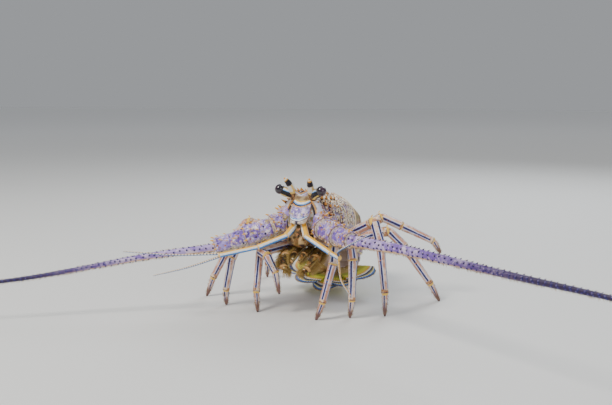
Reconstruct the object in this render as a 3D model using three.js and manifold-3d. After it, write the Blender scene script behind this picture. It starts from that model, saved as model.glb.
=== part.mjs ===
// Caribbean spiny lobster, life size, standing on its walking legs with the tail curled under.
// Millimetres, +Z up, head towards -Y, the animal's left side at +X, floor at z = 0.
import * as THREE from 'three';
import { mergeVertices } from 'three/addons/utils/BufferGeometryUtils.js';
import Module from 'manifold-3d';

const wasm = await Module();
wasm.setup();

const degrees = THREE.MathUtils.degToRad;
const vec = (x, y, z) => new THREE.Vector3(x, y, z);
const { lerp } = THREE.MathUtils;

// Driving dimensions
const GAP = 0.3;
const FINEST_EDGE = 0.1;
const FLOOR_TO_TRUNK = 100;
const HEAD_UP = degrees(10);
const BODY_AT = vec(-11.5, 45.45, 0);
const UP = vec(0, 0, 1);

// Carapace sections from the front rim to the rear margin:
// station behind the rim, half width, top, bottom, and how far the section leans forward as it goes down
const CARAPACE = [
  [-3, 17, 22.5, -18, 0],
  [0, 21.5, 26, -23, 0.02],
  [8, 25.5, 28, -28, 0.08],
  [20, 28.5, 29, -31, 0.2],
  [34, 31, 29.5, -32, 0.32],
  [43, 31.6, 29.5, -32, 0.4],
  [48, 30.2, 28.4, -31, 0.42],
  [50, 30.2, 28.4, -31, 0.42],
  [55, 31.4, 30.2, -32, 0.38],
  [65, 32, 31, -31, 0.24],
  [77, 31.2, 30.8, -30, 0.08],
  [86, 30, 30, -28, -0.04],
  [89, 29, 29, -27, -0.09],
  [92, 29.6, 30, -26, -0.12],
];
const CARAPACE_FRONT = -3;
const GROOVE = 49;
const CARAPACE_REAR = 92;
const SHELL_SIDES = 24;
const SHELL_TOP_POWER = 0.92;
const SHELL_BELLY_POWER = 0.72;

// Rows of carapace spines, both sides: angle above the flank, first and last station, count,
// first and last length
const HEAD_SPINES = [
  [73, 15, 43, 4, 9.5, 6],
  [52, 9, 42, 4, 9, 6],
  [31, 10, 38, 4, 9, 5.5],
  [9, 16, 33, 3, 8, 5],
];
const THORAX_SPINES = [
  [76, 56, 85, 6, 4.4, 2.4],
  [55, 59, 83, 5, 4, 2.2],
  [34, 55, 84, 6, 3.6, 2.2],
  [13, 51, 83, 6, 3.4, 2.2],
  [-10, 53, 68, 3, 3, 2.2],
];
const MIDLINE_SPINES = [
  [24, 42, 2, 6, 5],
  [60, 82, 3, 4.4, 3.6],
];
const SPINE_SIDES = 5;
const SPINE_SLIMNESS = 4.2;

// Head
const HORN = [vec(10.5, 7, 118), vec(11.5, -5, 135.5), vec(14, -14.5, 144.5)];
const HORN_SIDES = 8;
const HORN_STATIONS = [[0, 4.6], [0.5, 4.2], [1, 3.6], [1.5, 2.8], [1.85, 1.5], [2, 0.5]];
const EYE = [vec(8, 6, 121), vec(16, -1, 127), vec(23.7, -4.5, 131)];
const EYE_STALK_STATIONS = [[0, 3.4], [1, 4.2], [1.6, 5], [2, 4]];
const EYE_STALK_SIDES = 10;
const EYE_RADIUS = 5.3;
const BROW_PATH = [vec(0, 14, 119), vec(0, 4, 122.5), vec(0, -3, 126.8)];
const BROW_STATIONS = [[0, 10.5], [0.8, 10.2], [1.5, 9.4], [2, 7.6]];
const BROW_FLATNESS = 0.5;
const BROW_SIDES = 12;
const BROW_TOOTH = { root: vec(0, -2.5, 130), direction: vec(0, -0.5, 1), length: 4.2 };

// Antennae, seen from the trunk outwards: joints of the three base segments, then the whip
const ANTENNA = {
  left: {
    joints: [vec(14, 14, 93), vec(29, -6, 91), vec(49, -22, 88), vec(67, -35, 87)],
    whip: [
      vec(67, -35, 87), vec(126, -72, 90), vec(223, -132, 90), vec(304, -183, 91), vec(398, -244, 90),
    ],
    whipRadius: 5.8,
    lobe: vec(18.5, 4, 98.5),
  },
  right: {
    joints: [vec(-14, 14, 96), vec(-33, -5, 89), vec(-58, -19, 79.5), vec(-87, -33, 68.5)],
    whip: [
      vec(-87, -33, 68.5), vec(-145, -68, 61.5), vec(-232, -124, 46), vec(-272, -151, 41),
      vec(-375, -222, 34),
    ],
    whipRadius: 4.2,
    lobe: vec(-18.5, 4, 102),
  },
};
const ANTENNA_STATIONS = [
  [[0, 9.5], [0.45, 11.5], [0.85, 12], [1, 11]],
  [[1, 10.6], [1.12, 11.4], [1.6, 10.8], [1.88, 11.2], [2, 9.6]],
  [[2, 8.8], [2.12, 9.6], [2.6, 8.6], [2.9, 8.4], [3, 6.8]],
];
const ANTENNA_SIDES = 10;
// Spines round each ring of a base segment: angle and length
const ANTENNA_SPINES = [[80, 6.5], [35, 5.5], [150, 5.5], [-35, 4.5]];
const LOBE_SIZE = vec(8.5, 9, 10.5);
// Lobe spines: angle forward of sideways, angle down from upright, and length
const LOBE_SPINES = [[20, 60, 8], [55, 45, 8.5], [-20, 55, 7], [75, 70, 6], [10, 95, 6]];
const WHIP_TIP_RADIUS = 0.6;
const WHIP_SPLIT = 0.42;
const WHIP_SIDES = 8;
const WHIP_STEPS = 8;
const SPINY_WHIP_RADIUS = 1.6;

// Antennules: stalk joints and the ends of the two feelers
const ANTENNULE = {
  left: {
    joints: [vec(4, -6, 95), vec(13, -20, 85), vec(45, -33, 72.5), vec(57, -41, 70)],
    feelers: [[vec(61, -54, 80), vec(96, -62, 101)], [vec(64, -56, 52), vec(80, -72, 41)]],
  },
  right: {
    joints: [vec(-4, -6, 95), vec(-9.5, -20, 84.5), vec(-34.5, -37, 73.5), vec(-70, -56, 65.5)],
    feelers: [[vec(-111, -76, 67), vec(-160, -94, 70)], [vec(-95, -74, 55), vec(-129, -88, 46)]],
  },
};
const ANTENNULE_STATIONS = [[0, 3.3], [0.95, 3.4], [1.1, 2.8], [1.5, 2.8], [1.95, 2.6], [2.1, 2.5], [3, 2.3]];
const ANTENNULE_SIDES = 8;
const FEELER_RADIUS = 1.2;
const FEELER_TIP_RADIUS = 0.45;
const FEELER_OFFSET = 1.35;
const FEELER_SIDES = 6;
const FEELER_STEPS = 7;

// Jaw feet folded forward under the mouth: the broad third maxillipeds, the second pair between them
const MAXILLIPED = [vec(14, 26, 68), vec(17, -5, 59), vec(13, -19, 50), vec(5, -18, 46)];
const MAXILLIPED_STATIONS = [
  [0, 5], [0.5, 6.6], [0.95, 6], [1.1, 6.2], [1.9, 4.8], [2.1, 4.4], [2.7, 2.8], [3, 1],
];
const MAXILLIPED_FLATNESS = 0.78;
const INNER_MAXILLIPED = [vec(5, 16, 66), vec(5.2, -8, 62), vec(4, -19, 57)];
const INNER_MAXILLIPED_STATIONS = [[0, 3.6], [0.5, 4.2], [0.95, 3.9], [1.1, 4], [1.7, 2.8], [2, 1]];

// Walking legs, front to back: root on the trunk, knee and foot where the legs stand
const LEG_ROOTS = [
  vec(8, 27, -24), vec(13.5, 40, -24), vec(18, 53, -24), vec(21, 66, -23), vec(23, 78, -22),
];
const LEGS = {
  left: [
    { knee: vec(40, -8, 73), foot: vec(27, -28, 0) },
    { knee: vec(56, -4, 79), foot: vec(57, -8, 0) },
    { knee: vec(74, 20, 98), foot: vec(89, 12, 0) },
    { knee: vec(74, 76, 79), foot: vec(130, 91, 0) },
    { knee: vec(62, 90, 92), carpus: vec(84, 96, 82), wrist: vec(118, 108, 65), foot: vec(126, 111, 51) },
  ],
  right: [
    { knee: vec(-45, -8, 62), carpus: vec(-33, -17, 60), wrist: vec(-21, -22, 44), foot: vec(-16, -24, 22) },
    { knee: vec(-46, 10, 80), foot: vec(-41, -25, 0) },
    { knee: vec(-74, -2, 68), foot: vec(-85, -13, 0) },
    { knee: vec(-81, 32, 86.5), foot: vec(-124, 12, 0) },
    { knee: vec(-70, 92, 76), foot: vec(-98, 122, 0) },
  ],
};
const UPPER_LEG = [[0, 5.2], [0.3, 5.4], [0.36, 4.8], [0.44, 5.4], [0.9, 5.4], [1, 4.7]];
const LOWER_LEG = [
  [1, 4.6], [1.2, 5.1], [1.85, 5], [2, 4.2], [2.12, 4.5],
  [2.85, 3.9], [3, 3.2], [3.15, 3.3], [3.6, 2.6], [4, 1.7],
];
const CARPUS_SHARE = 0.22;
const WRIST_SHARE = 0.76;
const CARPUS_BOW = 5;
const WRIST_BOW = 4;
const LEG_SIDES = 8;
const TOE_SUNK = 1.2;
const KNEE_SPINE = { share: 0.9, above: 4.6, length: 5 };

// Abdomen, curled under: length, heading below the horizontal, half width, top and bottom of each ring
const ABDOMEN_AT = vec(0, 90.7, 83);
const ABDOMEN = [
  { length: 12, heading: 8, halfWidth: 27.8, top: 26.4, bottom: 17 },
  { length: 20, heading: 24, halfWidth: 27.6, top: 25.6, bottom: 15 },
  { length: 20, heading: 54, halfWidth: 27, top: 24.4, bottom: 13 },
  { length: 19, heading: 92, halfWidth: 26, top: 22, bottom: 12 },
  { length: 18, heading: 132, halfWidth: 24.5, top: 18, bottom: 10 },
  { length: 16, heading: 160, halfWidth: 22, top: 12, bottom: 8 },
];
const ABDOMEN_SIDES = 16;
const ABDOMEN_POWER = 0.9;
const BELLY_POWER = 0.6;
const FLAP = { sunk: 3.5, drop: 9, splay: 2, sides: 8, flatness: 0.26 };
const PLEOPOD_STATIONS = [[0, 2], [0.5, 4], [1, 1]];
const PLEOPOD = { across: 11, sunk: 3, drop: 11, splay: 2, sides: 6, flatness: 0.35 };
const FAN_HEADING = 168;
const THORAX_HEADING = degrees(9);

// Tail fan plates: length, root beside the midline, base and widest half width,
// spread angle, layer above the telson
const TELSON = { length: 50, root: 0, base: 11, wide: 15.5, spread: 0, layer: 0 };
const UROPOD_INNER = { length: 48, root: 8, base: 6.5, wide: 16.5, spread: 27, layer: 3.4 };
const UROPOD_OUTER = { length: 52, root: 11, base: 7, wide: 18.5, spread: 56, layer: 6.8 };
const PLATE_THICKNESS = 2.6;
const PLATE_RIBS = 5;
const PLATE_ROWS = 7;
const RIB_HEIGHT = 0.35;
const FAN_CUP = 9;
const FAN_HALF_SPAN = 62;

// Seeded draw, the same on every run
let drawState = 20251;
function draw(low, high) {
  drawState = (drawState * 1103515245 + 12345) % 2147483648;
  return low + (high - low) * (drawState / 2147483648);
}

// A manifold solid from any closed three.js geometry
function solidOf(geometry) {
  const bare = geometry.clone();
  bare.deleteAttribute('normal');
  bare.deleteAttribute('uv');
  const merged = mergeVertices(bare, 1e-4);
  const index = merged.index.array;
  const triangles = [];
  for (let i = 0; i < index.length; i += 3) {
    const [a, b, c] = [index[i], index[i + 1], index[i + 2]];
    if (a !== b && b !== c && c !== a) triangles.push(a, b, c);
  }
  const vertProperties = new Float32Array(merged.attributes.position.array);
  const build = (list) => new wasm.Manifold(
    new wasm.Mesh({ numProp: 3, vertProperties, triVerts: new Uint32Array(list) }),
  );
  const solid = build(triangles);
  return solid.volume() > 0 ? solid : build(triangles.reverse());
}

// The solid's mesh as a three.js geometry
function geometryOf(solid) {
  const { numProp, vertProperties, triVerts } = solid.simplify(FINEST_EDGE).getMesh();
  const positions = new Float32Array((vertProperties.length / numProp) * 3);
  for (let i = 0; i < positions.length / 3; i += 1) {
    positions.set(vertProperties.subarray(i * numProp, i * numProp + 3), i * 3);
  }
  const geometry = new THREE.BufferGeometry();
  geometry.setAttribute('position', new THREE.BufferAttribute(positions, 3));
  geometry.setIndex(new THREE.BufferAttribute(new Uint32Array(triVerts), 1));
  return geometry;
}

// Solids joined into one closed body: the largest that the union gives
function join(solids) {
  const bodies = wasm.Manifold.union(solids).decompose();
  return bodies.reduce((largest, body) => (body.volume() > largest.volume() ? body : largest));
}

// A piece bent or cut clear of the room that its neighbours take
function clearOf(solid, rooms) {
  return join([rooms.reduce((rest, room) => rest.subtract(room), solid)]);
}

// Power of a sine or cosine that keeps its sign, for boxed or pinched outlines
const shaped = (value, power) => Math.sign(value) * Math.abs(value) ** power;

// A ring: centre, axis, unit vectors across and up, half width, top and bottom, and outline powers
function ring(centre, axis, lift, across, top, bottom = top, power = 1, bellyPower = power) {
  const side = axis.clone().cross(lift).normalize();
  const rise = side.clone().cross(axis).normalize();
  return { centre, axis, side, rise, across, top, bottom, power, bellyPower };
}

function ringPoint(r, angle, reach = 1, grow = 0) {
  const power = Math.sin(angle) > 0 ? r.power : r.bellyPower;
  const height = Math.sin(angle) > 0 ? r.top : r.bottom;
  const x = shaped(Math.cos(angle), power) * (r.across + grow) * reach;
  const z = shaped(Math.sin(angle), power) * (height + grow) * reach;
  return r.centre.clone().addScaledVector(r.side, x).addScaledVector(r.rise, z);
}

// A closed tube through rings, each end pushed out with the walls when it is grown
function tube(rings, sides, grow = 0) {
  const steps = rings.length - 1;
  const geometry = new THREE.CylinderGeometry(1, 1, 1, sides, steps);
  const position = geometry.attributes.position;
  for (let i = 0; i < position.count; i += 1) {
    const x = position.getX(i);
    const z = position.getZ(i);
    const step = Math.round((0.5 - position.getY(i)) * steps);
    const point = ringPoint(rings[step], Math.atan2(z, x), Math.hypot(x, z), grow);
    if (step === 0) point.addScaledVector(rings[0].axis, -grow);
    if (step === steps) point.addScaledVector(rings[steps].axis, grow);
    position.setXYZ(i, point.x, point.y, point.z);
  }
  return solidOf(geometry);
}

// Rings along jointed points: a station of 1.25 lies a quarter of the way from point 1 to point 2
function limb(points, stations, lift = UP, flatness = 1) {
  const headings = points.slice(1).map((point, i) => point.clone().sub(points[i]).normalize());
  let rise = lift;
  return stations.map(([place, radius]) => {
    const from = Math.min(Math.floor(place), headings.length - 1);
    const centre = points[from].clone().lerp(points[from + 1], place - from);
    const axis = headings[from].clone();
    if (place === from && from > 0) axis.add(headings[from - 1]).normalize();
    const made = ring(centre, axis, rise, radius, radius * flatness);
    rise = made.rise;
    return made;
  });
}

// A solid trimmed at the planes of its first and last rings, less half of the joint's gap
function trimmed(solid, first, last) {
  let rest = solid;
  if (first) rest = rest.trimByPlane(first.axis.toArray(), first.axis.dot(first.centre) + GAP / 2);
  if (last) {
    const inward = last.axis.clone().negate();
    rest = rest.trimByPlane(inward.toArray(), GAP / 2 + inward.dot(last.centre));
  }
  return rest;
}

const endOf = (list) => list[list.length - 1];

// A spine: a cone with few sides, its root sunk in what carries it
function spine(root, direction, length, radius = length / SPINE_SLIMNESS) {
  const sunk = radius * 1.5;
  const geometry = new THREE.ConeGeometry(radius, length + sunk, SPINE_SIDES);
  geometry.translate(0, (length + sunk) / 2 - sunk, 0);
  geometry.applyQuaternion(new THREE.Quaternion().setFromUnitVectors(vec(0, 1, 0), direction));
  geometry.translate(root.x, root.y, root.z);
  return solidOf(geometry);
}

const mirrorX = (point) => vec(-point.x, point.y, point.z);
const sideOf = (point, side) => (side === 'left' ? point.clone() : mirrorX(point));

// The trunk's own frame, tipped head up, and the whole animal
const lobster = new THREE.Group();
const trunk = new THREE.Group();
trunk.position.set(0, 0, FLOOR_TO_TRUNK);
trunk.rotation.x = -HEAD_UP;
lobster.add(trunk);
lobster.updateMatrixWorld(true);
const onTrunk = (point) => point.clone().applyMatrix4(trunk.matrixWorld);
const alongTrunk = (direction) => direction.clone().transformDirection(trunk.matrixWorld);
const FORWARD = alongTrunk(vec(0, -1, 0));

function finish(color, roughness) {
  return new THREE.MeshStandardMaterial({ color, roughness, metalness: 0 });
}

function addNode(parent, name, solid, material, pivot) {
  const mesh = new THREE.Mesh(new THREE.BufferGeometry(), material);
  mesh.name = name;
  mesh.position.copy(parent.worldToLocal(pivot.clone()));
  parent.add(mesh);
  mesh.updateMatrixWorld(true);
  mesh.geometry = geometryOf(solid).applyMatrix4(mesh.matrixWorld.clone().invert());
}

// Carapace: two shells that meet at the cervical groove
function carapaceRing(station) {
  const above = CARAPACE.findIndex((row) => row[0] >= station);
  const next = above < 0 ? CARAPACE.length - 1 : Math.max(1, above);
  const [low, high] = [CARAPACE[next - 1], CARAPACE[next]];
  const share = (station - low[0]) / (high[0] - low[0]);
  const [, across, top, bottom, lean] = low.map((value, i) => lerp(value, high[i], share));
  return { station, across, top, bottom, lean };
}

function carapacePoint(station, angle, reach = 1, grow = 0) {
  const r = carapaceRing(station);
  const upper = Math.sin(angle) > 0;
  const power = upper ? SHELL_TOP_POWER : SHELL_BELLY_POWER;
  const x = shaped(Math.cos(angle), power) * (r.across + grow) * reach;
  const z = shaped(Math.sin(angle), power) * ((upper ? r.top : -r.bottom) + grow) * reach;
  return onTrunk(vec(x, station + r.lean * (z - r.top), z));
}

function carapaceShell(from, to, grow = 0) {
  const inner = CARAPACE.map((row) => row[0]).filter((station) => station > from && station < to);
  const stations = [from - grow, ...inner, to + grow];
  const steps = stations.length - 1;
  const geometry = new THREE.CylinderGeometry(1, 1, 1, SHELL_SIDES, steps);
  const position = geometry.attributes.position;
  for (let i = 0; i < position.count; i += 1) {
    const x = position.getX(i);
    const z = position.getZ(i);
    const step = Math.round((0.5 - position.getY(i)) * steps);
    const point = carapacePoint(stations[step], Math.atan2(z, x), Math.hypot(x, z), grow);
    position.setXYZ(i, point.x, point.y, point.z);
  }
  return solidOf(geometry);
}

// A carapace spine leans forward off the surface that it grows from
function carapaceSpine(station, angle, length) {
  const step = 0.05;
  const at = carapacePoint(station, angle);
  const back = carapacePoint(station + 1, angle).sub(at);
  const round = carapacePoint(station, angle + step).sub(at);
  const outward = back.cross(round).normalize();
  if (outward.dot(at.clone().sub(onTrunk(vec(0, station, 0)))) < 0) outward.negate();
  const lean = draw(0.85, 1.15);
  const direction = outward.addScaledVector(FORWARD, lean).addScaledVector(UP, 0.15).normalize();
  return spine(at, direction, length * draw(0.9, 1.1));
}

function spineRows(rows) {
  const spines = [];
  for (const [height, first, last, count, longest, shortest] of rows) {
    for (let i = 0; i < count; i += 1) {
      for (const flank of [1, -1]) {
        const share = i / (count - 1);
        const angle = degrees(height + draw(-3, 3));
        const station = lerp(first, last, share) + draw(-1, 1);
        const around = flank > 0 ? angle : Math.PI - angle;
        spines.push(carapaceSpine(station, around, lerp(longest, shortest, share)));
      }
    }
  }
  return spines;
}

function midlineSpines([first, last, count, longest, shortest]) {
  return Array.from({ length: count }, (_, i) => {
    const share = i / (count - 1);
    return carapaceSpine(lerp(first, last, share), Math.PI / 2, lerp(longest, shortest, share));
  });
}

function horn(side, grow = 0) {
  return tube(limb(HORN.map((point) => sideOf(point, side)), HORN_STATIONS), HORN_SIDES, grow);
}

// The shelf of the carapace between the horns, with a small middle tooth
function brow(grow = 0) {
  return tube(limb(BROW_PATH, BROW_STATIONS, UP, BROW_FLATNESS), BROW_SIDES, grow);
}

function browTooth() {
  return spine(BROW_TOOTH.root, BROW_TOOTH.direction.clone().normalize(), BROW_TOOTH.length);
}

// The sloping plate under the brow that carries the antennules: place, half width and thickness
const PLATE_PATH = [
  [-1, 20, 10.5, 2.6],
  [-3.5, 14, 10.8, 4],
  [-6, 6, 10.8, 4.6],
  [-10, -1, 10, 4.2],
  [-13, -4, 8, 2.4],
];
const PLATE_SIDES = 14;
const PLATE_POWER = 0.7;
const PLATE_FACING = vec(0, -1, 0.4);
const PLATE_SPINES = { places: [[6, -6, 9], [4.5, -12, 2]], length: 6 };

function frontPlate(grow = 0) {
  const centres = PLATE_PATH.map(([y, z]) => onTrunk(vec(0, y, z)));
  const rings = PLATE_PATH.map(([, , halfWidth, thickness], i) => {
    const before = centres[Math.max(i - 1, 0)];
    const axis = centres[Math.min(i + 1, centres.length - 1)].clone().sub(before).normalize();
    return ring(centres[i], axis, alongTrunk(PLATE_FACING), halfWidth, thickness, thickness, PLATE_POWER);
  });
  return tube(rings, PLATE_SIDES, grow);
}

function plateSpines() {
  return PLATE_SPINES.places.flatMap(([x, y, z]) => [1, -1].map((flank) => {
    const direction = alongTrunk(vec(0.3 * flank, -1, 0.5).normalize());
    return spine(onTrunk(vec(x * flank, y, z)), direction, PLATE_SPINES.length);
  }));
}

// Mouth: the epistome above two mandibles
const EPISTOME = { at: vec(0, 0, -17), size: vec(14, 11, 14) };
const MANDIBLE = { at: vec(5.6, -8, -22), size: vec(5.5, 5, 7) };

function knob({ at, size }, matrix, grow = 0) {
  const body = new THREE.SphereGeometry(1, 11, 8).scale(size.x + grow, size.y + grow, size.z + grow);
  return solidOf(body.translate(at.x, at.y, at.z).applyMatrix4(matrix));
}

function mouth(grow = 0) {
  const parts = [EPISTOME, MANDIBLE, { ...MANDIBLE, at: mirrorX(MANDIBLE.at) }];
  return join(parts.map((part) => knob(part, trunk.matrixWorld, grow)));
}

function eye(side) {
  const points = EYE.map((point) => sideOf(point, side));
  const stalk = tube(limb(points, EYE_STALK_STATIONS), EYE_STALK_SIDES);
  const globe = new THREE.SphereGeometry(EYE_RADIUS, 13, 9);
  globe.translate(points[2].x, points[2].y, points[2].z);
  return join([stalk, solidOf(globe)]);
}

// Antennae: spiny base segments, a spiny lobe at the root of the first, and a whip in two lengths
function antennaLobe(side, grow = 0) {
  return knob({ at: ANTENNA[side].lobe, size: LOBE_SIZE }, new THREE.Matrix4(), grow);
}

function lobeSpines(side) {
  const flank = side === 'left' ? 1 : -1;
  return LOBE_SPINES.map(([forward, tilt, length]) => {
    const level = Math.sin(degrees(tilt));
    const direction = vec(
      flank * level * Math.cos(degrees(forward)),
      -level * Math.sin(degrees(forward)),
      Math.cos(degrees(tilt)),
    );
    const root = ANTENNA[side].lobe.clone().add(direction.clone().multiply(LOBE_SIZE).multiplyScalar(0.97));
    return spine(root, direction, length);
  });
}

function antennaSpines(rings) {
  const spines = [];
  const last = rings.length - 2;
  for (let i = 1; i <= last; i += 1) {
    for (const [height, length] of ANTENNA_SPINES) {
      const angle = degrees(height + draw(-12, 12));
      const root = ringPoint(rings[i], angle);
      const direction = root.clone().sub(rings[i].centre).normalize();
      direction.addScaledVector(rings[i].axis, i === last ? 1.1 : 0.7);
      direction.addScaledVector(FORWARD, 0.3).normalize();
      spines.push(spine(root, direction, length * draw(0.85, 1.15)));
    }
  }
  return spines;
}

function whipRings(side, from, to) {
  const { whip, whipRadius } = ANTENNA[side];
  const curve = new THREE.CatmullRomCurve3(whip);
  return Array.from({ length: WHIP_STEPS + 1 }, (_, i) => {
    const along = lerp(from, to, i / WHIP_STEPS);
    const radius = lerp(whipRadius, WHIP_TIP_RADIUS, along ** 0.85);
    return ring(curve.getPointAt(along), curve.getTangentAt(along), UP, radius, radius);
  });
}

function whipSpines(rings) {
  const spines = [];
  for (let i = 1; i < rings.length - 1; i += 1) {
    const r = rings[i];
    if (r.across < SPINY_WHIP_RADIUS) break;
    for (const height of i % 2 ? [30, 150] : [90, 250]) {
      const angle = degrees(height + draw(-20, 20));
      const root = ringPoint(r, angle);
      const direction = root.clone().sub(r.centre).normalize().addScaledVector(r.axis, 0.9).normalize();
      spines.push(spine(root, direction, r.across * 0.45, r.across * 0.2));
    }
  }
  return spines;
}

// Walking legs
function legPoints(side, index) {
  const pose = LEGS[side][index];
  const root = onTrunk(sideOf(LEG_ROOTS[index], side));
  const knee = pose.knee.clone();
  const foot = pose.foot.clone();
  const bow = knee.clone().sub(root).setZ(0).normalize();
  const carpus = pose.carpus ?? knee.clone().lerp(foot, CARPUS_SHARE).addScaledVector(bow, CARPUS_BOW);
  const wrist = pose.wrist ?? knee.clone().lerp(foot, WRIST_SHARE).addScaledVector(bow, WRIST_BOW);
  if (foot.z === 0) foot.addScaledVector(foot.clone().sub(wrist).normalize(), TOE_SUNK);
  return [root, knee, carpus, wrist, foot];
}

function upperLeg(side, index) {
  const rings = limb(legPoints(side, index), UPPER_LEG);
  return trimmed(join([tube(rings, LEG_SIDES), kneeSpine(side, index)]), null, endOf(rings));
}

function lowerLeg(side, index) {
  const rings = limb(legPoints(side, index), LOWER_LEG);
  return trimmed(tube(rings, LEG_SIDES), rings[0], null).trimByPlane([0, 0, 1], 0);
}

function kneeSpine(side, index) {
  const [root, knee] = legPoints(side, index);
  const along = knee.clone().sub(root).normalize();
  const place = root.clone().lerp(knee, KNEE_SPINE.share).addScaledVector(UP, KNEE_SPINE.above);
  return spine(place, along.addScaledVector(UP, 0.7).normalize(), KNEE_SPINE.length);
}

// Abdomen: rings between joint planes, each plane half way between its neighbours' headings
function headingOf(index) {
  if (index < 0) return THORAX_HEADING;
  if (index >= ABDOMEN.length) return degrees(FAN_HEADING);
  return degrees(ABDOMEN[index].heading);
}

const downBy = (angle) => vec(0, Math.cos(angle), -Math.sin(angle));
const dorsalOf = (angle) => vec(0, Math.sin(angle), Math.cos(angle));

const abdomenJoints = [ABDOMEN_AT];
for (const segment of ABDOMEN) {
  const along = downBy(degrees(segment.heading));
  abdomenJoints.push(endOf(abdomenJoints).clone().addScaledVector(along, segment.length));
}

function abdomenRing(index, share, swell) {
  const before = (headingOf(index - 1) + headingOf(index)) / 2;
  const after = (headingOf(index) + headingOf(index + 1)) / 2;
  const angle = lerp(before, after, share);
  const here = ABDOMEN[index];
  const next = ABDOMEN[Math.min(index + 1, ABDOMEN.length - 1)];
  const centre = abdomenJoints[index].clone().lerp(abdomenJoints[index + 1], share);
  const mix = (key) => lerp(here[key], next[key], share) * swell;
  const sizes = [mix('halfWidth'), mix('top'), mix('bottom')];
  return ring(centre, downBy(angle), dorsalOf(angle), ...sizes, ABDOMEN_POWER, BELLY_POWER);
}

const RING_PROFILE = [[0, 0.94], [0.16, 0.96], [0.3, 1], [0.75, 1.02], [1, 1]];

function abdomenRings(index) {
  return RING_PROFILE.map(([share, swell]) => abdomenRing(index, share, swell));
}

function abdomenSegment(index) {
  const rings = abdomenRings(index);
  const pieces = [tube(rings, ABDOMEN_SIDES)];
  const middle = abdomenRing(index, 0.5, 1);
  const length = ABDOMEN[index].length;
  for (const flank of [1, -1]) {
    const out = middle.side.clone().multiplyScalar(flank);
    const root = middle.centre.clone().addScaledVector(out, middle.across - FLAP.sunk);
    const tip = root.clone().addScaledVector(middle.rise, -middle.bottom - FLAP.drop);
    tip.addScaledVector(out, FLAP.splay);
    const flaps = [[0, length * 0.34], [0.6, length * 0.26], [1, 0.9]];
    pieces.push(tube(limb([root, tip], flaps, middle.side, FLAP.flatness), FLAP.sides));
    if (index > 0 && index < 5) {
      const hip = middle.centre.clone().addScaledVector(out, PLEOPOD.across);
      hip.addScaledVector(middle.rise, PLEOPOD.sunk - middle.bottom);
      const end = hip.clone().addScaledVector(middle.rise, -PLEOPOD.drop);
      end.addScaledVector(out, PLEOPOD.splay);
      pieces.push(tube(limb([hip, end], PLEOPOD_STATIONS, middle.side, PLEOPOD.flatness), PLEOPOD.sides));
    }
  }
  return join([trimmed(join(pieces), rings[0], endOf(rings))]);
}

// Tail fan: ribbed plates that spread from the last ring and cup upwards at the sides
const fanAt = abdomenJoints[ABDOMEN.length];
const fanAlong = downBy(degrees(FAN_HEADING));
const fanDorsal = dorsalOf(degrees(FAN_HEADING));

function fanPlate(plate, flank) {
  const geometry = new THREE.BoxGeometry(1, 1, 1, PLATE_RIBS * 2, PLATE_ROWS, 1);
  const position = geometry.attributes.position;
  const spread = degrees(plate.spread) * flank;
  for (let i = 0; i < position.count; i += 1) {
    const across = position.getX(i) * 2;
    const along = position.getY(i) + 0.5;
    const face = position.getZ(i) * 2;
    const swell = Math.sin(Math.PI * Math.min(along * 0.62 + 0.02, 1)) ** 0.7;
    const halfWidth = lerp(plate.base, plate.wide, swell);
    const round = Math.sqrt(1 - 0.5 * across * across);
    const length = plate.length * along * lerp(1, round, along ** 3);
    const x = across * halfWidth;
    const rib = RIB_HEIGHT * Math.cos(across * Math.PI * PLATE_RIBS) * along;
    const thickness = (PLATE_THICKNESS / 2) * lerp(1, 0.7, along) + rib;
    const side = plate.root * flank + x * Math.cos(spread) + length * Math.sin(spread);
    const reach = length * Math.cos(spread) - x * Math.sin(spread);
    const cup = FAN_CUP * (side / FAN_HALF_SPAN) ** 2 + plate.layer;
    const point = fanAt.clone().addScaledVector(fanAlong, reach).addScaledVector(vec(1, 0, 0), side);
    point.addScaledVector(fanDorsal, face * thickness - cup);
    position.setXYZ(i, point.x, point.y, point.z);
  }
  return solidOf(geometry);
}

// Colours by piece
const shellBrown = finish(0xa98363, 0.55);
const shellLilac = finish(0xa795b8, 0.5);
const whipPurple = finish(0x75608f, 0.6);
const legPale = finish(0xd8b6a6, 0.5);
const legStriped = finish(0x8c7f9c, 0.5);
const eyeBlack = finish(0x120d14, 0.15);
const feelerBlue = finish(0x8f96b8, 0.5);
const fanOlive = finish(0x9a9a4d, 0.5);
const mouthOlive = finish(0x8a6a35, 0.6);

const trunkRoom = join([
  carapaceShell(CARAPACE_FRONT, CARAPACE_REAR, GAP),
  horn('left', GAP),
  horn('right', GAP),
  brow(GAP),
]);
const headShell = carapaceShell(CARAPACE_FRONT, GROOVE - GAP / 2);
const thoraxShell = carapaceShell(GROOVE + GAP / 2, CARAPACE_REAR);
const head = join([
  headShell,
  horn('left'),
  horn('right'),
  brow(),
  browTooth(),
  ...spineRows(HEAD_SPINES),
  ...midlineSpines(MIDLINE_SPINES[0]),
]);
const thorax = join([
  thoraxShell,
  ...spineRows(THORAX_SPINES),
  ...midlineSpines(MIDLINE_SPINES[1]),
]);
addNode(trunk, 'carapace_head', clearOf(head, [thoraxShell]), shellBrown, onTrunk(vec(0, 0, 0)));
addNode(trunk, 'carapace_thorax', clearOf(thorax, [headShell]), shellBrown, onTrunk(vec(0, GROOVE, 0)));

const plateRoom = frontPlate(GAP);
const mouthRoom = mouth(GAP);
const plate = join([frontPlate(), ...plateSpines()]);
addNode(trunk, 'front_plate', clearOf(plate, [trunkRoom]), shellLilac, onTrunk(vec(0, 0, 14)));
addNode(trunk, 'mouth', clearOf(mouth(), [trunkRoom, plateRoom]), mouthOlive, onTrunk(vec(0, 0, -15)));

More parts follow.
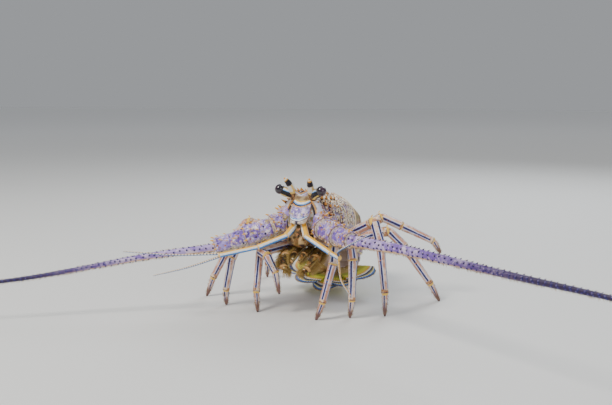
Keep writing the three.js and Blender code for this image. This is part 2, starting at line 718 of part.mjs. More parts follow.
const stalkRooms = [];
for (const side of ['left', 'right']) {
  const { joints, feelers } = ANTENNULE[side];
  const rings = limb(joints, ANTENNULE_STATIONS);
  const whole = trimmed(tube(rings, ANTENNULE_SIDES), null, endOf(rings));
  const stalk = clearOf(whole, [trunkRoom, plateRoom, mouthRoom, ...stalkRooms]);
  const room = tube(rings, ANTENNULE_SIDES, GAP);
  stalkRooms.push(room);
  addNode(lobster, `antennule_${side}_stalk`, stalk, feelerBlue, joints[0]);
  const end = joints[3];
  const lean = end.clone().sub(joints[2]).normalize();
  feelers.forEach(([middle, tip], i) => {
    const rise = i === 0 ? 1 : -1;
    const root = end.clone().addScaledVector(lean, -1).addScaledVector(UP, rise * FEELER_OFFSET);
    const curve = new THREE.CatmullRomCurve3([root, middle, tip]);
    const feelerRings = Array.from({ length: FEELER_STEPS + 1 }, (_, step) => {
      const along = step / FEELER_STEPS;
      const radius = lerp(FEELER_RADIUS, FEELER_TIP_RADIUS, along);
      return ring(curve.getPointAt(along), curve.getTangentAt(along), UP, radius, radius);
    });
    const name = `antennule_${side}_${i === 0 ? 'upper' : 'lower'}_feeler`;
    addNode(lobster, name, clearOf(tube(feelerRings, FEELER_SIDES), [room]), feelerBlue, end);
  });
}

for (const side of ['left', 'right']) {
  const { joints, whip } = ANTENNA[side];
  for (let segment = 0; segment < 3; segment += 1) {
    const rings = limb(joints, ANTENNA_STATIONS[segment]);
    const root = segment === 0 ? [antennaLobe(side), ...lobeSpines(side)] : [];
    const whole = join([tube(rings, ANTENNA_SIDES), ...antennaSpines(rings), ...root]);
    const piece = trimmed(whole, segment > 0 ? rings[0] : null, endOf(rings));
    const rooms = segment === 0 ? [trunkRoom, plateRoom, mouthRoom, ...stalkRooms] : [];
    const name = `antenna_${side}_base_${segment + 1}`;
    addNode(lobster, name, clearOf(piece, rooms), shellLilac, joints[segment]);
  }
  const near = whipRings(side, 0, WHIP_SPLIT);
  near[0].axis.copy(joints[3]).sub(joints[2]).normalize();
  const far = whipRings(side, WHIP_SPLIT, 1);
  const nearWhip = trimmed(join([tube(near, WHIP_SIDES), ...whipSpines(near)]), near[0], endOf(near));
  const farWhip = trimmed(join([tube(far, WHIP_SIDES), ...whipSpines(far)]), far[0], null);
  addNode(lobster, `antenna_${side}_whip_1`, join([nearWhip]), whipPurple, whip[0]);
  addNode(lobster, `antenna_${side}_whip_2`, join([farWhip]), whipPurple, whip[2]);
}

for (const side of ['left', 'right']) {
  const firstRings = limb(ANTENNA[side].joints, ANTENNA_STATIONS[0]);
  const firstBase = join([tube(firstRings, ANTENNA_SIDES, GAP), antennaLobe(side, GAP)]);
  const eyeSolid = clearOf(eye(side), [trunkRoom, plateRoom, firstBase]);
  addNode(trunk, `eye_${side}`, eyeSolid, eyeBlack, sideOf(EYE[0], side));
  const outer = MAXILLIPED.map((point) => sideOf(point, side));
  const outerRings = limb(outer, MAXILLIPED_STATIONS, UP, MAXILLIPED_FLATNESS);
  const outerRoom = tube(outerRings, LEG_SIDES, GAP);
  const jawRooms = [trunkRoom, mouthRoom, firstBase];
  const outerSolid = clearOf(tube(outerRings, LEG_SIDES), jawRooms);
  addNode(lobster, `maxilliped_${side}`, outerSolid, mouthOlive, outer[0]);
  const inner = INNER_MAXILLIPED.map((point) => sideOf(point, side));
  const innerRings = limb(inner, INNER_MAXILLIPED_STATIONS);
  const innerSolid = clearOf(tube(innerRings, LEG_SIDES), [...jawRooms, outerRoom, ...stalkRooms]);
  addNode(lobster, `maxilliped_${side}_inner`, innerSolid, mouthOlive, inner[0]);
  const taken = [outerRoom];
  for (let index = 0; index < LEG_ROOTS.length; index += 1) {
    const joints = legPoints(side, index);
    const upper = clearOf(upperLeg(side, index), [trunkRoom, ...taken]);
    const lower = clearOf(lowerLeg(side, index), taken);
    addNode(lobster, `leg_${side}_${index + 1}_upper`, upper, legStriped, joints[0]);
    addNode(lobster, `leg_${side}_${index + 1}_lower`, lower, legPale, joints[1]);
    taken.push(tube(limb(joints, UPPER_LEG), LEG_SIDES, GAP));
  }
}

for (let index = 0; index < ABDOMEN.length; index += 1) {
  const segment = clearOf(abdomenSegment(index), [trunkRoom]);
  addNode(lobster, `abdomen_${index + 1}`, segment, shellBrown, abdomenJoints[index]);
}
const lastRing = ABDOMEN.length - 1;
const fanRooms = [tube(abdomenRings(lastRing), ABDOMEN_SIDES, GAP), abdomenSegment(lastRing)];
addNode(lobster, 'telson', clearOf(fanPlate(TELSON, 1), fanRooms), fanOlive, fanAt);
for (const [side, flank] of [['left', 1], ['right', -1]]) {
  const inner = clearOf(fanPlate(UROPOD_INNER, flank), fanRooms);
  const outer = clearOf(fanPlate(UROPOD_OUTER, flank), fanRooms);
  addNode(lobster, `uropod_${side}_inner`, inner, fanOlive, fanAt);
  addNode(lobster, `uropod_${side}_outer`, outer, fanOlive, fanAt);
}

lobster.position.copy(BODY_AT);
lobster.updateMatrixWorld(true);

export default lobster;
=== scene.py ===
import math

import bpy
import numpy as np
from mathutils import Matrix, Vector, noise
from mathutils.kdtree import KDTree


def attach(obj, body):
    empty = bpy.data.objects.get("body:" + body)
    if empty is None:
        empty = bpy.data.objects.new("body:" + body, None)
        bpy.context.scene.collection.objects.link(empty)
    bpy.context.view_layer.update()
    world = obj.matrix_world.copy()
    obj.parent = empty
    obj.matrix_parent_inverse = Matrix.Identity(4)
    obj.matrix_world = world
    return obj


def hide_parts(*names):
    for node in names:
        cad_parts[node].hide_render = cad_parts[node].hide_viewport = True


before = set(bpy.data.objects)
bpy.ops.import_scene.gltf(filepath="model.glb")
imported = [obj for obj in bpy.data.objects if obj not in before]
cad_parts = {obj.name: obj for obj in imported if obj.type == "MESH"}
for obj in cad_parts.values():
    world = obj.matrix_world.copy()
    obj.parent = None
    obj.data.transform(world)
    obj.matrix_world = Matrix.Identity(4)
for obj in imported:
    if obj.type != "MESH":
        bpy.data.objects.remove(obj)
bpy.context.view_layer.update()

# Studio: a pale floor, a pale sky, four soft lamps, and a camera low in front of the animal's left.
# Lengths are in millimetres in the animal's own frame: floor at z 0, head towards -y, its left at +x.
MM = 0.001
BODY_AT = np.array([-11.5, 45.45, 0.0])
CAMERA_AT = np.array([293.8, -715.7, 226.0])
CAMERA_TURN = math.radians(22)
CAMERA_DOWN = math.radians(8)
CAMERA_FIELD = math.radians(45)
SKY = (0.86, 0.89, 0.93, 1)
SKY_STRENGTH = 0.4
LAMP_AIM = Vector((0, 0, 0.08))
LAMPS = {
    "key": ((-0.7, -0.9, 1.5), 0.6, 27, (1.0, 0.96, 0.9)),
    "fill": ((1.3, -0.7, 0.7), 0.9, 5, (0.88, 0.94, 1.0)),
    "top": ((0, 0, 5), 5.0, 40, (1.0, 1.0, 1.0)),
    "rim": ((0.2, 1.3, 1.1), 0.8, 12, (0.9, 0.95, 1.0)),
}
FLOOR_HALF = 15.0
FLOOR_FADE = (1.2, 5.0)
FLOOR_COLOUR = (0.78, 0.78, 0.76)
FAR_FLOOR_COLOUR = (0.97, 0.97, 0.96)


def metres(points):
    return (np.asarray(points, float) + BODY_AT) * MM


camera = bpy.data.objects.new("camera", bpy.data.cameras.new("camera"))
camera.data.sensor_width = 36
camera.data.lens = 18 / math.tan(CAMERA_FIELD / 2)
camera.data.clip_start = 0.02
camera.location = metres(CAMERA_AT)
camera.rotation_euler = (math.pi / 2 - CAMERA_DOWN, 0, CAMERA_TURN)
bpy.context.scene.collection.objects.link(camera)
bpy.context.scene.camera = camera

world = bpy.data.worlds.new("sky")
bpy.context.scene.world = world
world.use_nodes = True
world.node_tree.nodes["Background"].inputs["Color"].default_value = SKY
world.node_tree.nodes["Background"].inputs["Strength"].default_value = SKY_STRENGTH
for name, (place, size, watts, colour) in LAMPS.items():
    light = bpy.data.lights.new(name, "AREA")
    light.shape = "DISK"
    light.size = size
    light.energy = watts
    light.color = colour
    lamp = bpy.data.objects.new(name, light)
    lamp.location = place
    lamp.rotation_euler = (LAMP_AIM - Vector(place)).to_track_quat("-Z", "Y").to_euler()
    bpy.context.scene.collection.objects.link(lamp)


class Shade:
    """A value or colour in a material, with the sums that painting it takes."""

    def __init__(self, tree, socket=None):
        self.tree = tree
        self.socket = socket

    def make(self, kind, settings=None, sockets=None, out=0):
        made = self.tree.nodes.new(kind)
        for name, value in (settings or {}).items():
            setattr(made, name, value)
        for name, value in (sockets or {}).items():
            if isinstance(value, Shade):
                self.tree.links.new(value.socket, made.inputs[name])
            else:
                made.inputs[name].default_value = value
        return Shade(self.tree, made.outputs[out])

    def sum(self, operation, first, second):
        return self.make("ShaderNodeMath", {"operation": operation}, {0: first, 1: second})

    def __add__(self, other):
        return self.sum("ADD", self, other)

    def __radd__(self, other):
        return self.sum("ADD", other, self)

    def __sub__(self, other):
        return self.sum("SUBTRACT", self, other)

    def __rsub__(self, other):
        return self.sum("SUBTRACT", other, self)

    def __mul__(self, other):
        return self.sum("MULTIPLY", self, other)

    def __rmul__(self, other):
        return self.sum("MULTIPLY", other, self)

    def step(self, low, high):
        """0 below low, 1 above high, smooth between; the other way round where low is the larger."""
        ends = (0.0, 1.0) if low < high else (1.0, 0.0)
        sockets = {"Value": self, "From Min": min(low, high), "From Max": max(low, high),
                   "To Min": ends[0], "To Max": ends[1]}
        return self.make("ShaderNodeMapRange", {"interpolation_type": "SMOOTHSTEP"}, sockets)

    def mix(self, below, above):
        """Colour: below where this is 0, above where it is 1."""
        sockets = {0: self}
        for index, colour in ((6, below), (7, above)):
            sockets[index] = colour if isinstance(colour, Shade) else (*colour, 1)
        return self.make("ShaderNodeMix", {"data_type": "RGBA"}, sockets, out=2)

    def noise(self, scale, detail=3.0, rough=0.55):
        where = self.make("ShaderNodeTexCoord", out=3)
        return self.make("ShaderNodeTexNoise", None,
                         {"Vector": where, "Scale": scale, "Detail": detail, "Roughness": rough})

    def cells(self, scale, out=0, jitter=1.0):
        where = self.make("ShaderNodeTexCoord", out=3)
        return self.make("ShaderNodeTexVoronoi", None,
                         {"Vector": where, "Scale": scale, "Randomness": jitter}, out=out)

    def painted(self, name):
        """A number that the mesh carries at each of its points."""
        return self.make("ShaderNodeAttribute", {"attribute_name": name}, None, out=2)

    def marks(self, *names):
        return [self.painted(name) for name in names]

    def band(self, low, high, soft):
        """1 between low and high, 0 outside, with soft edges."""
        return self.step(low - soft, low + soft) * self.step(high + soft, high - soft)

    def banded(self, skin, bands, mask=None):
        """A colour crossed by bands where this value lies between two levels."""
        for low, high, soft, colour in bands:
            here = self.band(low, high, soft)
            skin = (here if mask is None else mask * here).mix(skin, colour)
        return skin

    def speckled(self, skin, kinds):
        """Round specks scattered over a colour: cells to a metre, size, share with a speck, colour."""
        for scale, size, share, colour in kinds:
            here = self.cells(scale).step(size, size * 0.7)
            chosen = self.cells(scale, out=1).step(share + 0.03, share - 0.03)
            skin = (here * chosen).mix(skin, colour)
        return skin


COAT, COAT_ROUGHNESS, SPECULAR = 0.12, 0.18, 0.35
VIEWPORT_COLOUR = (0.6, 0.5, 0.45, 1)


def finish(name, paint, coat=COAT):
    """A material: paint(shade) gives its colour, roughness, and height in millimetres."""
    material = bpy.data.materials.new(name)
    material.use_nodes = True
    tree = material.node_tree
    shader = tree.nodes["Principled BSDF"]
    colour, roughness, height = paint(Shade(tree))
    tree.links.new(colour.socket, shader.inputs["Base Color"])
    if isinstance(roughness, Shade):
        tree.links.new(roughness.socket, shader.inputs["Roughness"])
    else:
        shader.inputs["Roughness"].default_value = roughness
    if height is not None:
        bump = colour.make("ShaderNodeBump", None, {"Height": height, "Distance": MM, "Strength": 1.0})
        tree.links.new(bump.socket, shader.inputs["Normal"])
    shader.inputs["Coat Weight"].default_value = coat
    shader.inputs["Specular IOR Level"].default_value = SPECULAR
    shader.inputs["Coat Roughness"].default_value = COAT_ROUGHNESS
    material.diffuse_color = VIEWPORT_COLOUR
    return material


def paint_floor(shade):
    place = shade.make("ShaderNodeTexCoord", out=3)
    away = shade.make("ShaderNodeVectorMath", {"operation": "LENGTH"}, {0: place}, out=1)
    return away.step(*FLOOR_FADE).mix(FLOOR_COLOUR, FAR_FLOOR_COLOUR), 0.6, None


floor_mesh = bpy.data.meshes.new("floor")
corners = [(x * FLOOR_HALF, y * FLOOR_HALF, 0) for x, y in ((-1, -1), (1, -1), (1, 1), (-1, 1))]
floor_mesh.from_pydata(corners, [], [(0, 1, 2, 3)])
floor = bpy.data.objects.new("floor", floor_mesh)
floor_mesh.materials.append(finish("floor_paint", paint_floor, coat=0.0))
bpy.context.scene.collection.objects.link(floor)

# Carapace: the shell over head and thorax, one hard plate that a groove divides, rough with knobs.
# It is a thick open sheet, its lower edge free above the legs, over the body that fills it.
HEAD_UP = math.radians(10)
FLOOR_TO_TRUNK = 100.0
# Sections: station behind the front rim, half width, top, bottom, lean
CARAPACE = np.array([
    [-3, 17, 22.5, -18, 0],
    [0, 21.5, 26, -23, 0.02],
    [8, 25.5, 28, -28, 0.08],
    [20, 28.5, 29, -31, 0.2],
    [34, 31, 29.5, -32, 0.32],
    [43, 31.6, 29.5, -32, 0.4],
    [49, 30, 28, -31, 0.42],
    [55, 31.4, 30.2, -32, 0.38],
    [65, 32, 31, -31, 0.24],
    [77, 31.2, 30.8, -30, 0.08],
    [86, 30, 30, -28, -0.04],
    [89, 29, 29, -27, -0.09],
    [92, 29.6, 30, -26, -0.12],
])
FRONT, GROOVE, REAR = -3.0, 49.0, 92.0
HALF_GAP = 0.15
SHELL_THICKNESS = 1.1
SHELL_EDGE = math.radians(-40)
draws = np.random.default_rng(11)


def from_trunk(points):
    """Points of the tipped trunk in the animal's frame."""
    p = np.asarray(points, float)
    c, s = math.cos(HEAD_UP), math.sin(HEAD_UP)
    x, y, z = p[..., 0], p[..., 1], p[..., 2]
    return np.stack([x, y * c + z * s, FLOOR_TO_TRUNK - y * s + z * c], -1)


def turned(direction):
    return from_trunk(direction) - from_trunk((0, 0, 0))


def unit(vectors):
    vectors = np.asarray(vectors, float)
    return vectors / np.maximum(np.linalg.norm(vectors, axis=-1, keepdims=True), 1e-9)


def shaped(values, power):
    return np.sign(values) * np.abs(values) ** power


def bell(values, middle, width):
    return np.exp(-(((values - middle) / width) ** 2))


def blend(values, low, high):
    share = np.clip((values - low) / (high - low), 0, 1)
    return share * share * (3 - 2 * share)


def row_value(table, column, place):
    """A column of a table of sections, rounded off between its rows."""
    spread = np.linspace(-2, 2, 9)
    near = [np.interp(place + s, table[:, 0], table[:, column]) for s in spread]
    weights = bell(spread, 0, 1.4)
    return np.tensordot(weights / weights.sum(), np.array(near), 1)


def carapace_at(station, angle, reach=1.0):
    """Points on the carapace, station in millimetres behind the front rim, angle above the left flank."""
    station, angle = np.broadcast_arrays(np.asarray(station, float), np.asarray(angle, float))
    across, top, bottom, lean = (row_value(CARAPACE, column, station) for column in (1, 2, 3, 4))
    upper = np.sin(angle) > 0
    power = np.where(upper, 0.92, 0.72)
    x = shaped(np.cos(angle), power) * across * reach
    z = shaped(np.sin(angle), power) * np.where(upper, top, -bottom) * reach
    return from_trunk(np.stack([x, station + lean * (z - top), z], -1))


def carapace_out(station, angle):
    step = 0.02
    back = carapace_at(np.asarray(station) + 0.5, angle) - carapace_at(np.asarray(station) - 0.5, angle)
    round_ = carapace_at(station, np.asarray(angle) + step) - carapace_at(station, np.asarray(angle) - step)
    return unit(np.cross(round_, back)) * -1


def grid_out(points):
    """Unit normals of a grid of points, rows by columns."""
    return unit(np.cross(np.gradient(points, axis=1), np.gradient(points, axis=0)))


def grid_faces(rows, columns, wrap=False):
    r = np.arange(rows - 1)[:, None]
    c = np.arange(columns if wrap else columns - 1)[None, :]
    a, b = r * columns + c, r * columns + (c + 1) % columns
    return np.stack([a, b, b + columns, a + columns], -1).reshape(-1, 4)


def sheet(points, thickness, paint, out):
    """A closed plate: a grid of outer points, the same grid drawn in, and a rim round both."""
    rows, columns = points.shape[:2]
    inner = points - out * (thickness[..., None] if np.ndim(thickness) else thickness)
    count = rows * columns
    faces = grid_faces(rows, columns)
    rim = np.concatenate([
        np.arange(columns), np.arange(1, rows) * columns + columns - 1,
        (rows - 1) * columns + np.arange(columns - 2, -1, -1), np.arange(rows - 2, 0, -1) * columns,
    ])
    after = np.roll(rim, -1)
    edge = np.stack([after, rim, rim + count, after + count], -1)
    return {
        "points": np.concatenate([points.reshape(-1, 3), inner.reshape(-1, 3)]),
        "faces": [faces, faces[:, ::-1] + count, edge],
        "paint": {key: np.tile(np.broadcast_to(value, (rows, columns)).reshape(-1), 2)
                  for key, value in paint.items()},
    }


ROUND = 2 * math.pi


def round_angles(count):
    return np.linspace(0, ROUND, count, endpoint=False)


def tube(points, paint):
    """A closed body from a grid of rings, with a fan at each end."""
    rows, sides = points.shape[:2]
    ends = np.stack([points[0].mean(0), points[-1].mean(0)])
    ring = np.arange(sides)
    count = rows * sides
    first = np.stack([np.roll(ring, -1), ring, np.full(sides, count)], -1)
    last = np.stack([ring, np.roll(ring, -1), np.full(sides, count + 1)], -1)
    last[:, :2] += (rows - 1) * sides
    marks = {}
    for key, value in paint.items():
        value = np.broadcast_to(value, (rows, sides))
        marks[key] = np.concatenate([value.reshape(-1), [value[0].mean(), value[-1].mean()]])
    return {
        "points": np.concatenate([points.reshape(-1, 3), ends]),
        "faces": [grid_faces(rows, sides, True), first, last],
        "paint": marks,
    }


def volume(part):
    total = 0.0
    for faces in part["faces"]:
        corners = part["points"][faces]
        for i in range(1, faces.shape[1] - 1):
            total += np.einsum("ij,ij->i", corners[:, 0], np.cross(corners[:, i], corners[:, i + 1])).sum()
    return total


def facing_out(part):
    if volume(part) < 0:
        part["faces"] = [faces[:, ::-1] for faces in part["faces"]]
    return part


def gather(parts):
    """Several closed bodies in one mesh; a mark that one lacks is 0 there."""
    keys = sorted({key for part in parts for key in part["paint"]})
    points, faces, start = [], [], 0
    marks = {key: [] for key in keys}
    for part in parts:
        facing_out(part)
        count = len(part["points"])
        points.append(part["points"])
        faces += [f + start for f in part["faces"]]
        for key in keys:
            marks[key].append(part["paint"].get(key, np.zeros(count)))
        start += count
    return {"points": np.concatenate(points), "faces": faces,
            "paint": {key: np.concatenate(value) for key, value in marks.items()}}


def piece(name, parts, material, nodes=()):
    """A mesh object that rides on the body and stands for its nodes."""
    part = gather(parts)
    mesh = bpy.data.meshes.new(name)
    sizes = np.concatenate([np.full(len(f), f.shape[1]) for f in part["faces"]])
    corners = np.concatenate([f.reshape(-1) for f in part["faces"]])
    mesh.vertices.add(len(part["points"]))
    mesh.vertices.foreach_set("co", metres(part["points"]).astype(np.float32).reshape(-1))
    mesh.loops.add(len(corners))
    mesh.loops.foreach_set("vertex_index", corners.astype(np.int32))
    mesh.polygons.add(len(sizes))
    starts = np.concatenate([[0], np.cumsum(sizes)[:-1]])
    mesh.polygons.foreach_set("loop_start", starts.astype(np.int32))
    mesh.polygons.foreach_set("use_smooth", np.ones(len(sizes), bool))
    for key, value in part["paint"].items():
        mesh.attributes.new(key, "FLOAT", "POINT").data.foreach_set("value", value.astype(np.float32))
    mesh.update()
    mesh.validate()
    mesh.materials.append(material)
    made = bpy.data.objects.new(name, mesh)
    bpy.context.scene.collection.objects.link(made)
    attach(made, "root")
    if nodes:
        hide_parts(*nodes)
    return made


def rough(points, size, seed=0.0):
    """Soft noise at each point, -1 to 1, in lumps of about this size."""
    flat = np.asarray(points).reshape(-1, 3) / size + seed
    values = np.array([noise.noise(Vector(p)) for p in flat])
    return values.reshape(np.asarray(points).shape[:-1])


def thorns(roots, directions, lengths, slimness=4.0, bend=0.22, towards=(0, -1, 0), sides=8,
           rings=7):
    """Curved thorns, each a closed cone with a flared, sunk root; mark tip runs from 0 to 1."""
    roots, directions = np.asarray(roots, float), unit(directions)
    lengths = np.asarray(lengths, float)
    across = unit(np.cross(directions, (0.3, 0.5, 0.81)))
    up = np.cross(directions, across)
    share = np.linspace(0, 1, rings)
    angle = round_angles(sides)
    width = 0.9 * (1 - share) ** 0.85 + 0.5 * np.exp(-share / 0.09) + 0.03
    rise = share * 1.12 - 0.12
    centre = roots[:, None] + directions[:, None] * (rise * lengths[:, None])[..., None]
    centre = centre + np.asarray(towards) * (bend * share**2 * lengths[:, None])[..., None]
    radius = (lengths / slimness)[:, None] * width
    spread = across[:, None, None] * np.cos(angle)[:, None] + up[:, None, None] * np.sin(angle)[:, None]
    points = centre[:, :, None] + spread * radius[..., None, None]
    mark = np.broadcast_to(share[:, None], (rings, sides))
    return [tube(ring_points, {"tip": mark, "thorn": 1.0}) for ring_points in points]


def rows_of_thorns(rows):
    """Roots, directions and lengths of rows of carapace thorns on both flanks."""
    roots, directions, lengths = [], [], []
    for height, first, last, count, longest, shortest in rows:
        for i in range(count):
            share = i / max(count - 1, 1)
            for flank in (1, -1):
                angle = math.radians(height + draws.uniform(-3, 3))
                angle = angle if flank > 0 else math.pi - angle
                station = first + (last - first) * share + draws.uniform(-1, 1)
                out = carapace_out(station, angle)
                roots.append(carapace_at(station, angle))
                directions.append(out * 0.8 + turned((0, -1, 0.15)) * draws.uniform(0.75, 1.0))
                lengths.append((longest + (shortest - longest) * share) * draws.uniform(0.9, 1.1))
    return np.array(roots), np.array(directions), np.array(lengths)


# Rows of thorns: height on the flank, first and last station, count, longest and shortest
HEAD_THORNS = [
    (73, 15, 43, 4, 9.5, 6), (52, 9, 42, 4, 9, 6), (31, 10, 38, 4, 9, 5.5), (9, 16, 33, 3, 8, 5),
    (63, 20, 46, 4, 4.5, 3.5), (42, 14, 44, 4, 4.5, 3.5), (20, 10, 40, 5, 4.5, 3),
    (-4, 18, 38, 3, 4, 3), (58, 1.5, 2, 1, 6, 6), (44, 1, 2, 1, 5, 5), (70, 3, 4, 1, 4, 4),
]
THORAX_THORNS = [
    (76, 56, 85, 6, 4.4, 2.4), (55, 59, 83, 5, 4, 2.2), (34, 55, 84, 6, 3.6, 2.2),
    (13, 51, 83, 6, 3.4, 2.2), (-10, 51, 76, 4, 3, 2.2), (66, 55, 86, 7, 2.3, 1.5),
    (45, 55, 86, 7, 2.3, 1.5), (24, 53, 85, 8, 2.2, 1.4), (2, 50, 84, 8, 2.0, 1.4),
]


def knobs(first, last, count):
    station = draws.uniform(first, last, count)
    angle = draws.uniform(math.radians(-25), math.radians(205), count)
    return carapace_at(station, angle), draws.uniform(0.9, 1.7, count)


def carapace_part(first, last, roots, count):
    """A stretch of the carapace, with a mound under each thorn and low knobs between."""
    rows = int((last - first) / 0.42)
    columns = 300
    station = np.linspace(first, last, rows)[:, None]
    angle = np.linspace(SHELL_EDGE, math.pi - SHELL_EDGE, columns)[None, :]
    points = carapace_at(station, angle)
    out = grid_out(points)
    if (out[rows // 2, columns // 2] @ (0, 0, 1)) < 0:
        out = -out
    bumps, sizes = knobs(first + 2, last - 3, count)
    knob = np.zeros(points.shape[:2])
    for place, size in zip(bumps, sizes):
        away = ((points - place) ** 2).sum(-1)
        knob = np.maximum(knob, np.exp(-away / (size * 0.75) ** 2) * size / 1.7)
    mound = np.zeros(points.shape[:2])
    for place in roots:
        away = ((points - place) ** 2).sum(-1)
        mound = np.maximum(mound, np.exp(-away / 2.6**2))
    from_middle = np.abs(angle - math.pi / 2)
    furrow = bell(from_middle, 0.42, 0.05) * blend(station, 54, 60)
    height = knob * 0.75 + mound * 0.8 + rough(points, 6.0) * 0.25
    height = height - bell(station, GROOVE, 1.6) * 0.8 - furrow * 0.5
    from_edge = math.pi / 2 - SHELL_EDGE - from_middle
    height = height * blend(from_edge, 0, 0.06) + bell(from_edge, 0.03, 0.03) * 0.5
    crown = np.cos(from_middle) * np.ones_like(station)
    marks = {"knob": np.clip(knob * 1.2 + mound, 0, 1), "crown": crown, "station": station / REAR}
    return sheet(points + out * height[..., None], SHELL_THICKNESS, marks, out)


CARAPACE_SPECKS = [
    (430.0, 0.46, 0.45, (0.42, 0.15, 0.03)),
    (520.0, 0.42, 0.35, (0.92, 0.86, 0.78)),
    (380.0, 0.4, 0.35, (0.05, 0.07, 0.22)),
    (165.0, 0.5, 0.46, (0.85, 0.45, 0.06)),
    (165.0, 0.36, 0.46, (0.010, 0.008, 0.022)),
]


def paint_carapace(shade):
    cloud, fine = shade.noise(26.0, 4.0), shade.noise(160.0, 5.0, 0.65)
    crown, knob, station = shade.marks("crown", "knob", "station")
    tan = cloud.step(0.4, 0.6).mix((0.24, 0.13, 0.05), (0.52, 0.36, 0.17))
    olive = shade.noise(48.0, 3.0).step(0.5, 0.6).mix(tan, (0.19, 0.19, 0.06))
    lilac = (crown + (cloud - 0.5) * 1.2).step(0.95, 0.2).mix(olive, (0.38, 0.30, 0.56))
    pale = shade.noise(80.0, 3.0, 0.6).step(0.48, 0.55).mix(lilac, (0.84, 0.74, 0.56))
    pale = shade.noise(140.0, 3.0, 0.65).step(0.56, 0.6).mix(pale, (0.035, 0.03, 0.035))
    spotted = shade.speckled(pale, CARAPACE_SPECKS)
    # Dark ring on the slopes round each knob and thorn root: painted shadow round their bases.
    ringed = (knob.band(0.3, 0.5, 0.12) * 0.7).mix(spotted, (0.12, 0.05, 0.03))
    topped = knob.step(0.6, 0.9).mix(ringed, (0.86, 0.76, 0.58))
    # Dark brown band along the groove across the shell: painted shade in the groove.
    groove = station.band(0.523, 0.542, 0.006).mix(topped, (0.10, 0.05, 0.03))
    lilac_white = cloud.step(0.45, 0.55).mix((0.62, 0.60, 0.82), (0.90, 0.86, 0.84))
    lip = station.band(-0.02, 0.035, 0.008).mix(groove, lilac_white)
    front = station.step(-0.025, -0.03).mix(lip, (0.86, 0.42, 0.08))
    rim = station.step(0.975, 0.981).mix(front, (0.93, 0.68, 0.38))
    rimmed = station.band(0.95, 0.973, 0.003).mix(rim, (0.03, 0.02, 0.05))
    return rimmed, fine * 0.2 + 0.3, fine * 0.35 + shade.cells(190.0) * 0.2


def paint_thorn(shade):
    tip, grain = shade.painted("tip"), shade.noise(240.0)
    root = grain.step(0.4, 0.62).mix((0.50, 0.33, 0.17), (0.80, 0.66, 0.46))
    dark = tip.step(0.14, 0.26).mix(root, (0.10, 0.045, 0.03))
    amber = tip.step(0.36, 0.52).mix(dark, (0.85, 0.38, 0.06))
    return tip.step(0.78, 0.93).mix(amber, (0.96, 0.82, 0.50)), 0.34, grain * 0.12


carapace_finish = finish("carapace_shell", paint_carapace)
thorn_finish = finish("carapace_thorn", paint_thorn)
head_rows = rows_of_thorns(HEAD_THORNS)
thorax_rows = rows_of_thorns(THORAX_THORNS)
FORWARD = turned((0, -1, 0))
for name, first, last, thorn_rows, count, slimness in (
        ("carapace_head", FRONT, GROOVE - HALF_GAP, head_rows, 260, 3.6),
        ("carapace_thorax", GROOVE + HALF_GAP, REAR, thorax_rows, 420, 3.4)):
    shell = carapace_part(first, last, thorn_rows[0], count)
    piece(f"{name}_shell", [shell], carapace_finish, [name])
    piece(f"{name}_thorns", thorns(*thorn_rows, slimness, 0.3, FORWARD), thorn_finish)

# Body under the carapace: the breast plate that the legs spring from, and the flesh behind the mouth.
# It closes the shell from below and in front.
BREAST_FRONT, BREAST_SHARE = -2.6, 0.93
UP = np.array([0, 0, 1.0])


def breast():
    station = np.linspace(BREAST_FRONT, REAR - 1, 110)[:, None]
    angle = round_angles(120)[None, :]
    points = carapace_at(station, angle, BREAST_SHARE)
    low = np.clip(-np.sin(angle), 0, 1)
    seams = bell((station - 20) % 13, 6.5, 0.9) * low * 0.9
    points = points + UP * seams[..., None]
    reach = np.linspace(0.04, 1, 30, endpoint=False)[:, None]
    dome = carapace_at(BREAST_FRONT, angle, BREAST_SHARE * reach)
    dome = dome + FORWARD * (3.0 * (1 - reach**2))[..., None]
    dome = dome + FORWARD * (rough(dome, 4.0) * 0.8 * (1 - reach))[..., None]
    front = np.concatenate([reach, np.ones((110, 1))]) * np.ones_like(angle)
    return tube(np.concatenate([dome, points]), {"front": front, "cap": front < 0.999})


def paint_breast(shade):
    cloud, (front, cap) = shade.noise(60.0), shade.marks("front", "cap")
    base = cloud.step(0.4, 0.62).mix((0.30, 0.19, 0.12), (0.50, 0.38, 0.29))
    spotted = shade.noise(120.0).step(0.56, 0.66).mix(base, (0.14, 0.07, 0.06))
    olive = shade.noise(150.0).step(0.44, 0.56).mix((0.20, 0.17, 0.09), (0.50, 0.45, 0.42))
    dome = shade.speckled(olive, [(420.0, 0.42, 0.4, (0.62, 0.28, 0.08))])
    # Near-black rim round the front cap, where it meets the shell: painted shade.
    cap_rim_shade = front.step(0.84, 0.9).mix(dome, (0.03, 0.02, 0.03))
    return cap.mix(spotted, cap_rim_shade), 0.42, cloud * 0.4


piece("breast_plate", [breast()], finish("breast_shell", paint_breast))

# Horns: the two strong hard spines over the eyes, grown from the front rim of the carapace,
# dark at the root, then pale, then black up to an amber tip, with a small tooth in front of each.
HORN_LINE = [(10.5, 7, 118), (11.5, -5, 135.5), (14, -14.5, 144.5)]
HORN_PROFILE = [(0, 4.6), (0.31, 4.2), (0.615, 3.6), (0.81, 2.9), (0.92, 2.0), (0.98, 1.0), (1, 0.4)]


def mirrored(points, flank):
    return np.asarray(points, float) * (flank, 1, 1)


def between(first, second, start, end, place):
    return (end - place) / (end - start) * first + (place - start) / (end - start) * second


